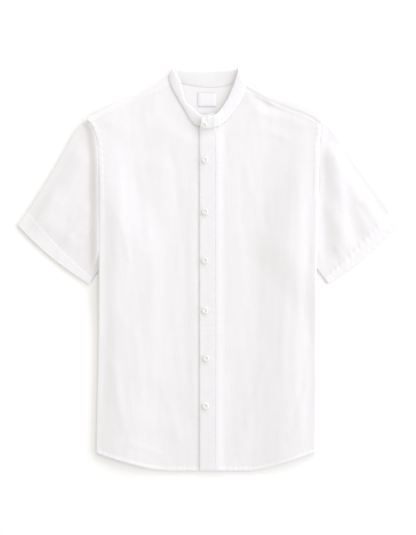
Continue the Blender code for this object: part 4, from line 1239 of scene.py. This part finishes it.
def buttonhole(lay, at, axis):
    """Close stitches down both sides of a slit and a bar at each end; at is its middle."""
    def on_face(down, beside):
        u, v = (beside, down) if axis else (down, beside)
        return run_on(lay, at[0] + u, at[1] + v, HALF_BAND)

    steps = np.arange(-HOLE_HALF, HOLE_HALF, HOLE_PITCH)
    sizes = [np.full(len(steps), HOLE_THREAD[key]) for key in ("length", "radius")]
    threads = []
    for side in (-1, 1):
        points, out = on_face(steps, side * HOLE_ROW)
        inner, _ = on_face(steps, side * HOLE_ROW / 2)
        threads.append(Thread(points, unit(points - inner), out, *sizes))
    for end in (-1, 1):
        for step in HOLE_BAR_ROWS:
            bar = on_face(end * (HOLE_HALF - step), np.linspace(-HOLE_BAR, HOLE_BAR, 5))
            threads.append(sew(*bar, **HOLE_BAR_THREAD))
    return threads


# ------ buttons

BUTTON_RADIUS = 5.7
BUTTON_HEIGHT = 2.6
BUTTON_EYE = 0.62          # radius of a hole
BUTTON_EYE_AT = 1.35       # from the centre lines
BUTTON_SINK = 0.95         # below its solid's place, where its thread pulls it
# A turned button's outline: share of the radius, share of the height.
BUTTON_PROFILE = ((0.0, 0.70), (0.44, 0.70), (0.56, 0.72), (0.66, 0.80), (0.74, 0.88),
                  (0.82, 0.90), (0.91, 0.85), (0.97, 0.72), (1.0, 0.52), (0.97, 0.34),
                  (0.86, 0.13), (0.68, 0.03), (0.45, 0.0), (0.0, 0.0))
BUTTON_TURNS = (12, -8, 20, 5, 33, -16, 9)     # each button's own turn, in degrees
BUTTON_SIDES = 64
EYE_SIDES = 20
TIE_AT = 0.74              # height of the tied thread, as a share of the button's
TIE_STRANDS = (-0.32, 0.0, 0.32)
TIE_PAST_EYES = 0.9
TIE_RADIUS = 0.24
COLLAR_BUTTON_AT = 0.54    # stations from the upper end of the collar band
COLLAR_BUTTON_UP = 0.39    # share of the band's width
COLLAR_HOLE_SHIFT = 1.0    # its buttonhole's middle lies this far past it


def add_form(name, form):
    mesh = bpy.data.meshes.new(name)
    form.to_mesh(mesh)
    form.free()
    return new_object(name, mesh)


def button_form():
    """The mesh of a turned button with its eyes drilled."""
    outline = bmesh.new()
    points = [outline.verts.new((r * BUTTON_RADIUS * MM, 0.0, h * BUTTON_HEIGHT * MM))
              for r, h in BUTTON_PROFILE]
    for start, end in zip(points, points[1:]):
        outline.edges.new((start, end))
    body = add_form("button_blank", outline)
    turned = body.modifiers.new("turned", "SCREW")
    turned.steps = turned.render_steps = BUTTON_SIDES
    turned.use_merge_vertices = True
    turned.merge_threshold = 0.01 * MM
    eyes = bmesh.new()
    for x in (-BUTTON_EYE_AT, BUTTON_EYE_AT):
        for y in (-BUTTON_EYE_AT, BUTTON_EYE_AT):
            place = Matrix.Translation(Vector((x, y, BUTTON_HEIGHT / 2)) * MM)
            bmesh.ops.create_cone(eyes, cap_ends=True, segments=EYE_SIDES,
                                  radius1=BUTTON_EYE * MM, radius2=BUTTON_EYE * MM,
                                  depth=2 * BUTTON_HEIGHT * MM, matrix=place)
    drill = add_form("button_drill", eyes)
    bored = body.modifiers.new("bored", "BOOLEAN")
    bored.operation = "DIFFERENCE"
    bored.object = drill
    bpy.context.view_layer.update()
    depsgraph = bpy.context.evaluated_depsgraph_get()
    form = bpy.data.meshes.new_from_object(body.evaluated_get(depsgraph))
    form.name = "button_form"
    bpy.data.objects.remove(body)
    bpy.data.objects.remove(drill)
    form.shade_smooth()
    form.set_sharp_from_angle(angle=SHARP)
    form.materials.clear()
    form.materials.append(LOOKS["button"])
    return form


def make_buttons(lay_placket, collar_out):
    """Each button stands where its solid stands, with its thread and its buttonhole."""
    form = button_form()
    ties = []
    holes = []
    for number, degrees in enumerate(BUTTON_TURNS, start=1):
        low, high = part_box(f"button_{number}")
        centre = (low + high) / 2
        normal = collar_out if number == 1 else Vector((0.0, 0.0, 1.0))
        own_turn = Matrix.Rotation(math.radians(degrees), 3, "Z").to_quaternion()
        turn = normal.to_track_quat("Z", "Y") @ own_turn
        foot = centre - normal * ((BUTTON_HEIGHT / 2 + BUTTON_SINK) * MM)
        button = new_object(f"button_{number}_pearl", form)
        button.location = foot
        button.rotation_mode = "QUATERNION"
        button.rotation_quaternion = turn
        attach(button, ROOT)
        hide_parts(f"button_{number}")
        place = turn.to_matrix()
        for x in (-BUTTON_EYE_AT, BUTTON_EYE_AT):
            for shift in TIE_STRANDS:
                local = Vector((x + shift, 0.0, TIE_AT * BUTTON_HEIGHT))
                ties.append((foot / MM + place @ local, place @ Vector((0, 1, 0)), normal))
        if number > 1:
            holes += buttonhole(lay_placket, centre / MM, 1)
    centres, runs, outs = (np.array(column) for column in zip(*ties))
    sizes = [np.full(len(ties), size) for size in (2 * BUTTON_EYE_AT + TIE_PAST_EYES, TIE_RADIUS)]
    make_threads("button_ties", [Thread(centres, runs, outs, *sizes)])
    collar_at = (COLLAR_BUTTON_AT * STATION + COLLAR_HOLE_SHIFT, COLLAR_BUTTON_UP * COLLAR_WIDTH)
    make_threads("buttonholes", holes + buttonhole(lay_collar, collar_at, 0))


# ------ seams

HEM_STITCH_Y = HEM_Y + HEM_BAND - 0.7
FELL_STITCH_AT = FOLD_AT - FELL_WIDTH + 1.1
FELL_STITCH_FROM_Y = 133.0
CUFF_STITCH_AT = CUFF_AT + 1.2
CUFF_STITCH_UNDER = 175.0      # how far the cuff's stitches are laid below
FLAP_STITCHES = (2.0, 1.5)     # they start and end this far inside the flap
FLAP_END_Y = 275.0
BACK_STITCHES = (4.0, 2.0)     # they start this far from the middle, and end inside the fold
BAND_STITCH_ENDS = (2.0, 1.0)
COLLAR_STITCH_IN = 1.5
STITCHED_BAND = 0.97 * HALF_BAND
LABEL_STITCH_IN = 0.9
LABEL_STITCH_FACE = 0.2
LABEL_THREAD = {"pitch": 1.9, "length": 1.3, "radius": 0.17}


def sew_seams(lays):
    """Every row of stitches that shows, grouped by the piece that it is sewn to."""
    body, band, cuffs, label = [], [], [], []
    for side in SIDES:
        front, sleeve = lays["front_" + side.name], lays["sleeve_" + side.name]
        us = np.arange(HEM_START[0] + 1, FRONT_QUARTER)
        body.append(seam(front, us, HEM_STITCH_Y, SHELL))
        vs = np.arange(FELL_STITCH_FROM_Y, front_top_y(side) - 1)
        body.append(seam(front, FELL_STITCH_AT, vs, SHELL))
        xs = np.arange(yoke_corner(side)[0] + FLAP_STITCHES[0],
                       float(edge_x(side, FLAP_END_Y)) - FLAP_STITCHES[1])
        ys = flap_edge_y(side, xs) + EDGE_STITCH
        zs = on_flap(side, xs, ys, np.full(xs.shape, SHELL))
        up = np.tile((0.0, 0.0, 1.0), (len(xs), 1))
        body.append(sew(np.stack([side.sign * xs, ys, zs], axis=-1), up))
        us = np.arange(BACK_STITCHES[0], FOLD_AT - BACK_STITCHES[1]) * side.sign
        for v in (BACK_YOKE_Y - AIR - EDGE_STITCH, HEM_STITCH_Y):
            body.append(seam(lays["back"], us, v, -SHELL))
        for us in (np.arange(1.0, SLEEVE_TOP_END),
                   np.arange(SLEEVE_FOLD_END, SLEEVE_FOLD_END + CUFF_STITCH_UNDER)):
            cuffs.append(seam(sleeve, us, CUFF_STITCH_AT, SHELL))
    vs = np.arange(HEM_Y + BAND_STITCH_ENDS[0], PLACKET_TOP_Y - BAND_STITCH_ENDS[1])
    for x in (PLACKET_FROM_X + EDGE_STITCH, PLACKET_TO_X - EDGE_STITCH):
        band.append(seam(lays["placket"], x, vs, STITCHED_BAND))
    us = np.arange(COLLAR_STITCH_IN, COLLAR_LENGTH - COLLAR_STITCH_IN)
    for up in (EDGE_STITCH, COLLAR_WIDTH - EDGE_STITCH):
        band += [seam(lay_collar, us, up, off) for off in (STITCHED_BAND, -STITCHED_BAND)]
    right, top = LABEL_WIDTH - LABEL_STITCH_IN, LABEL_HEIGHT - LABEL_STITCH_IN
    left = low = LABEL_STITCH_IN
    corners = ((left, low), (right, low), (right, top), (left, top), (left, low))
    for start, end in zip(corners, corners[1:]):
        us, vs = np.linspace(start, end, 20).T
        label.append(seam(lays["label"], us, vs, LABEL_STITCH_FACE, **LABEL_THREAD))
    make_threads("stitches_body", body)
    make_threads("stitches_band", band)
    make_threads("stitches_sleeves", cuffs)
    make_threads("stitches_label", label)


# ------ materials

# Linen where it is thin, where it is thick, and between its thick yarns
LINEN_COLOURS = ((0.868, 0.849, 0.855), (0.886, 0.869, 0.876), (0.836, 0.817, 0.822))
BAND_COLOURS = ((0.880, 0.863, 0.870), (0.874, 0.857, 0.865), (0.862, 0.845, 0.852))
BAND_LETS_THROUGH = 0.25
# Its uneven yarns: scale on the cut cloth, detail, middle values, share of colour and relief
YARNS = (
    ((900, 16, 1), 3.0, 0.40, 0.68, 0.42, 0.45),       # thick warp threads
    ((20, 850, 1), 3.0, 0.42, 0.70, 0.22, 0.25),       # thick weft threads
    ((85, 2.5, 1), 2.0, 0.3, 0.7, 0.22, 0.0),          # bands along the warp
    ((34, 20, 1), 2.0, 0.3, 0.7, 0.14, 0.0),           # soft clouds
)
THREAD_PAIR = 0.00062                    # two threads of the weave, in metres
THREAD_PAIR_RELIEF = 0.30
THREAD_COLOUR = (0.86, 0.87, 0.88)
THREAD_TWIST = 2600                      # scale of its twist, per metre
LABEL_RIB = 0.0005                       # in metres
LABEL_COLOURS = ((0.84, 0.835, 0.858), (0.89, 0.885, 0.908))
LABEL_LINE_COLOUR = (0.45, 0.47, 0.56)
PEARL_COLOURS = ((0.80, 0.785, 0.72), (0.88, 0.87, 0.83))
PEARL_STREAKS = (380, 900, 420)
# Strength and depth in metres of each relief
LINEN_BUMP = (0.55, 0.00016)
THREAD_BUMP = (0.3, 0.00008)
LABEL_BUMP = (0.4, 0.0001)
WAVE_TURN = 2 * math.pi / 20             # of the wave texture, for a period of one metre


def fill(tree, node, inputs):
    """Sets a node's inputs: to a constant, or to another node's output."""
    for name, value in inputs.items():
        if isinstance(value, bpy.types.NodeSocket):
            tree.links.new(value, node.inputs[name])
        else:
            node.inputs[name].default_value = value


def new_look(name, **inputs):
    """A material and its tree; inputs are the shader's, with _ for a space in their names."""
    look = bpy.data.materials.new(name)
    look.use_nodes = True
    shade(look.node_tree, **inputs)
    return look, look.node_tree


def shade(tree, **inputs):
    inputs = {name.replace("_", " "): value for name, value in inputs.items()}
    fill(tree, tree.nodes["Principled BSDF"], inputs)


def rgba(colour):
    return (*colour, 1.0) if isinstance(colour, tuple) else colour


def add(tree, kind, output, inputs, **settings):
    """The named output of a new node."""
    node = tree.nodes.new(kind)
    for key, value in settings.items():
        setattr(node, key, value)
    fill(tree, node, inputs)
    return node.outputs[output]


def noise(tree, source, scale, detail=3.0, rough=0.5):
    vector = add(tree, "ShaderNodeMapping", "Vector", {"Vector": source, "Scale": scale})
    return add(tree, "ShaderNodeTexNoise", "Fac",
               {"Vector": vector, "Scale": 1.0, "Detail": detail, "Roughness": rough})


def spread(tree, source, low, high):
    """Stretches a soft pattern's middle values to the whole way from 0 to 1."""
    return add(tree, "ShaderNodeMapRange", "Result",
               {"Value": source, "From Min": low, "From Max": high},
               interpolation_type="SMOOTHSTEP")


def mixed(tree, parts):
    """The weighted sum of some patterns: pairs of output and weight."""
    total = 0.0
    for output, weight in parts:
        total = add(tree, "ShaderNodeMath", "Value", {0: output, 1: weight, 2: total},
                    operation="MULTIPLY_ADD")
    return total


def blend_colours(tree, factor, first, second):
    """Sockets 6 and 7 of the mix node are its two colours, and output 2 is the mixed one."""
    return add(tree, "ShaderNodeMix", 2, {"Factor": factor, 6: rgba(first), 7: rgba(second)},
               data_type="RGBA")


def waves(tree, source, period, direction):
    """A weave's rows; period in metres of the cut cloth."""
    return add(tree, "ShaderNodeTexWave", "Fac",
               {"Vector": source, "Scale": WAVE_TURN / period, "Distortion": 1.6,
                "Detail": 1.0, "Detail Scale": 0.4}, bands_direction=direction)


def bump(tree, height, strength, distance):
    """A normal for fine relief; distance in metres."""
    return add(tree, "ShaderNodeBump", "Normal",
               {"Height": height, "Strength": strength, "Distance": distance})


def cut_place(tree):
    return add(tree, "ShaderNodeUVMap", "UV", {}, uv_map="cut")


def own_place(tree):
    return add(tree, "ShaderNodeTexCoord", "Object", {})


def linen_look(name, thin, thick, shadow, lets_through=0.0):
    """Plain-woven slub linen, brighter where several layers lie on each other."""
    look, tree = new_look(name, Roughness=0.9, Specular_IOR_Level=0.25, Sheen_Weight=0.12,
                          Sheen_Roughness=0.5, Subsurface_Weight=lets_through,
                          Subsurface_Radius=(1.0, 1.0, 1.0), Subsurface_Scale=0.0025)
    cut = cut_place(tree)
    coloured = []
    raised = [(waves(tree, cut, THREAD_PAIR, way), THREAD_PAIR_RELIEF) for way in "XY"]
    for scale, detail, low, high, colour_share, relief_share in YARNS:
        yarn = spread(tree, noise(tree, cut, scale, detail), low, high)
        coloured.append((yarn, colour_share))
        if relief_share:
            raised.append((yarn, relief_share))
    single = blend_colours(tree, mixed(tree, coloured), shadow, thin)
    doubled = add(tree, "ShaderNodeAttribute", "Fac", {}, attribute_name="layers")
    shade(tree, Base_Color=blend_colours(tree, doubled, single, thick),
          Normal=bump(tree, mixed(tree, raised), *LINEN_BUMP))
    return look


def thread_look():
    look, tree = new_look("sewing_thread", Base_Color=rgba(THREAD_COLOUR), Roughness=0.55)
    twist = noise(tree, own_place(tree), (THREAD_TWIST,) * 3, 1.0)
    shade(tree, Normal=bump(tree, twist, *THREAD_BUMP))
    return look


def label_look():
    """A ribbed ground with one woven line along its upper and its lower edge."""
    look, tree = new_look("woven_label", Roughness=0.5, Sheen_Weight=0.2)
    cut = cut_place(tree)
    ribs = waves(tree, cut, LABEL_RIB, "Y")
    ground = blend_colours(tree, ribs, *LABEL_COLOURS)
    up = add(tree, "ShaderNodeSeparateXYZ", "Y", {"Vector": cut})
    from_middle = add(tree, "ShaderNodeMath", "Value", {0: up, 1: LABEL_HEIGHT / 2 * MM},
                      operation="SUBTRACT")
    away = add(tree, "ShaderNodeMath", "Value", {0: from_middle}, operation="ABSOLUTE")
    border = add(tree, "ShaderNodeMath", "Value",
                 {0: away, 1: LABEL_BORDER_AT * MM, 2: LABEL_BORDER * MM / 2},
                 operation="COMPARE")
    shade(tree, Base_Color=blend_colours(tree, border, ground, LABEL_LINE_COLOUR),
          Normal=bump(tree, ribs, *LABEL_BUMP))
    return look


def pearl_look():
    """Ivory pearl: cloudy streaks under a gloss."""
    look, tree = new_look("pearl_button", Roughness=0.24, Coat_Weight=0.6, Coat_Roughness=0.12)
    streaks = noise(tree, own_place(tree), PEARL_STREAKS, 4.0, 0.6)
    streaks = spread(tree, streaks, 0.3, 0.72)
    shade(tree, Base_Color=blend_colours(tree, streaks, *PEARL_COLOURS))
    return look


# ------ room

FRAME_HEIGHT = 1016.5                    # of the view at the cloth
FRAME_MIDDLE_Y = 3.1
CAMERA_HEIGHT = 4.0                      # in metres, as the next three
CAMERA_FOCUS = 0.008
CAMERA_REACH = 20.0
FLOOR_SIZE = 16.0
SENSOR = 36.0
TABLE_COLOUR = (1.0, 0.995, 0.985)
WORLD_COLOUR = (1.0, 0.985, 0.95)
WORLD_STRENGTH = 0.806
# Cool light beside the warm surround, so that the shadows are warm.
# name, bearing and height in degrees, metres away, width and height in metres, watts, colour
LIGHTS = (
    ("window", 3.0, 14.0, 6.0, 7.5, 2.4, 325.0, (0.80, 0.87, 1.0)),
    ("lamp", 68.0, 15.0, 4.0, 4.0, 1.2, 108.0, (0.90, 0.905, 0.97)),
)


def place_light(name, bearing, height, away, wide, high, watts, colour):
    """A soft light, aimed at the middle of the shirt and out of the camera's sight."""
    data = bpy.data.lights.new(name, "AREA")
    data.shape = "RECTANGLE"
    data.size, data.size_y = wide, high
    data.energy = watts
    data.color = colour
    light = new_object(name, data)
    turn, rise = math.radians(bearing), math.radians(height)
    light.location = (away * math.cos(rise) * math.cos(turn),
                      away * math.cos(rise) * math.sin(turn), away * math.sin(rise))
    light.rotation_euler = light.location.to_track_quat("Z", "Y").to_euler()
    light.visible_camera = False


def make_room():
    """A plain white table top, a window and a lamp low at its side, and a pale surround."""
    scene = bpy.context.scene
    scene.view_settings.view_transform = "Standard"
    world = bpy.data.worlds.new("surround")
    world.use_nodes = True
    fill(world.node_tree, world.node_tree.nodes["Background"],
         {"Color": rgba(WORLD_COLOUR), "Strength": WORLD_STRENGTH})
    scene.world = world
    for light in LIGHTS:
        place_light(*light)
    bpy.ops.mesh.primitive_plane_add(size=FLOOR_SIZE, location=(0.0, 0.0, 0.0))
    floor = bpy.context.object
    floor.name = "floor"
    look, _tree = new_look("pale_table", Base_Color=rgba(TABLE_COLOUR), Roughness=1.0,
                           Specular_IOR_Level=0.0)
    floor.data.materials.append(look)


def make_camera():
    """Straight above, far enough for an almost parallel view."""
    data = bpy.data.cameras.new("camera")
    data.sensor_width = SENSOR
    data.lens = SENSOR * (CAMERA_HEIGHT - CAMERA_FOCUS) / (FRAME_HEIGHT * MM)
    data.clip_end = CAMERA_REACH
    camera = new_object("camera", data)
    camera.location = (0.0, FRAME_MIDDLE_Y * MM, CAMERA_HEIGHT)
    bpy.context.scene.camera = camera


# ------ the shirt

LOOKS = {
    "linen": linen_look("white_linen", *LINEN_COLOURS),
    "linen_band": linen_look("white_linen_band", *BAND_COLOURS, BAND_LETS_THROUGH),
    "thread": thread_look(),
    "label": label_look(),
    "button": pearl_look(),
}
make_room()
make_camera()
lays = {"back": make_back()}
make_yoke()
lays["label"] = make_label()
lays["front_right"] = make_front(RIGHT, -BUTTON_STAND_X, 0.0)
lays["front_left"] = make_front(LEFT, PLACKET_TO_X + FRONT_GAP, LAYER)
lays["placket"] = make_placket()
for one_side in SIDES:
    lays["sleeve_" + one_side.name] = make_sleeve(one_side)
make_collar()
_, collar_faces = run_on(lay_collar, [COLLAR_BUTTON_AT * STATION],
                         [COLLAR_BUTTON_UP * COLLAR_WIDTH], BAND / 2)
make_buttons(lays["placket"], Vector(collar_faces[0]))
sew_seams(lays)
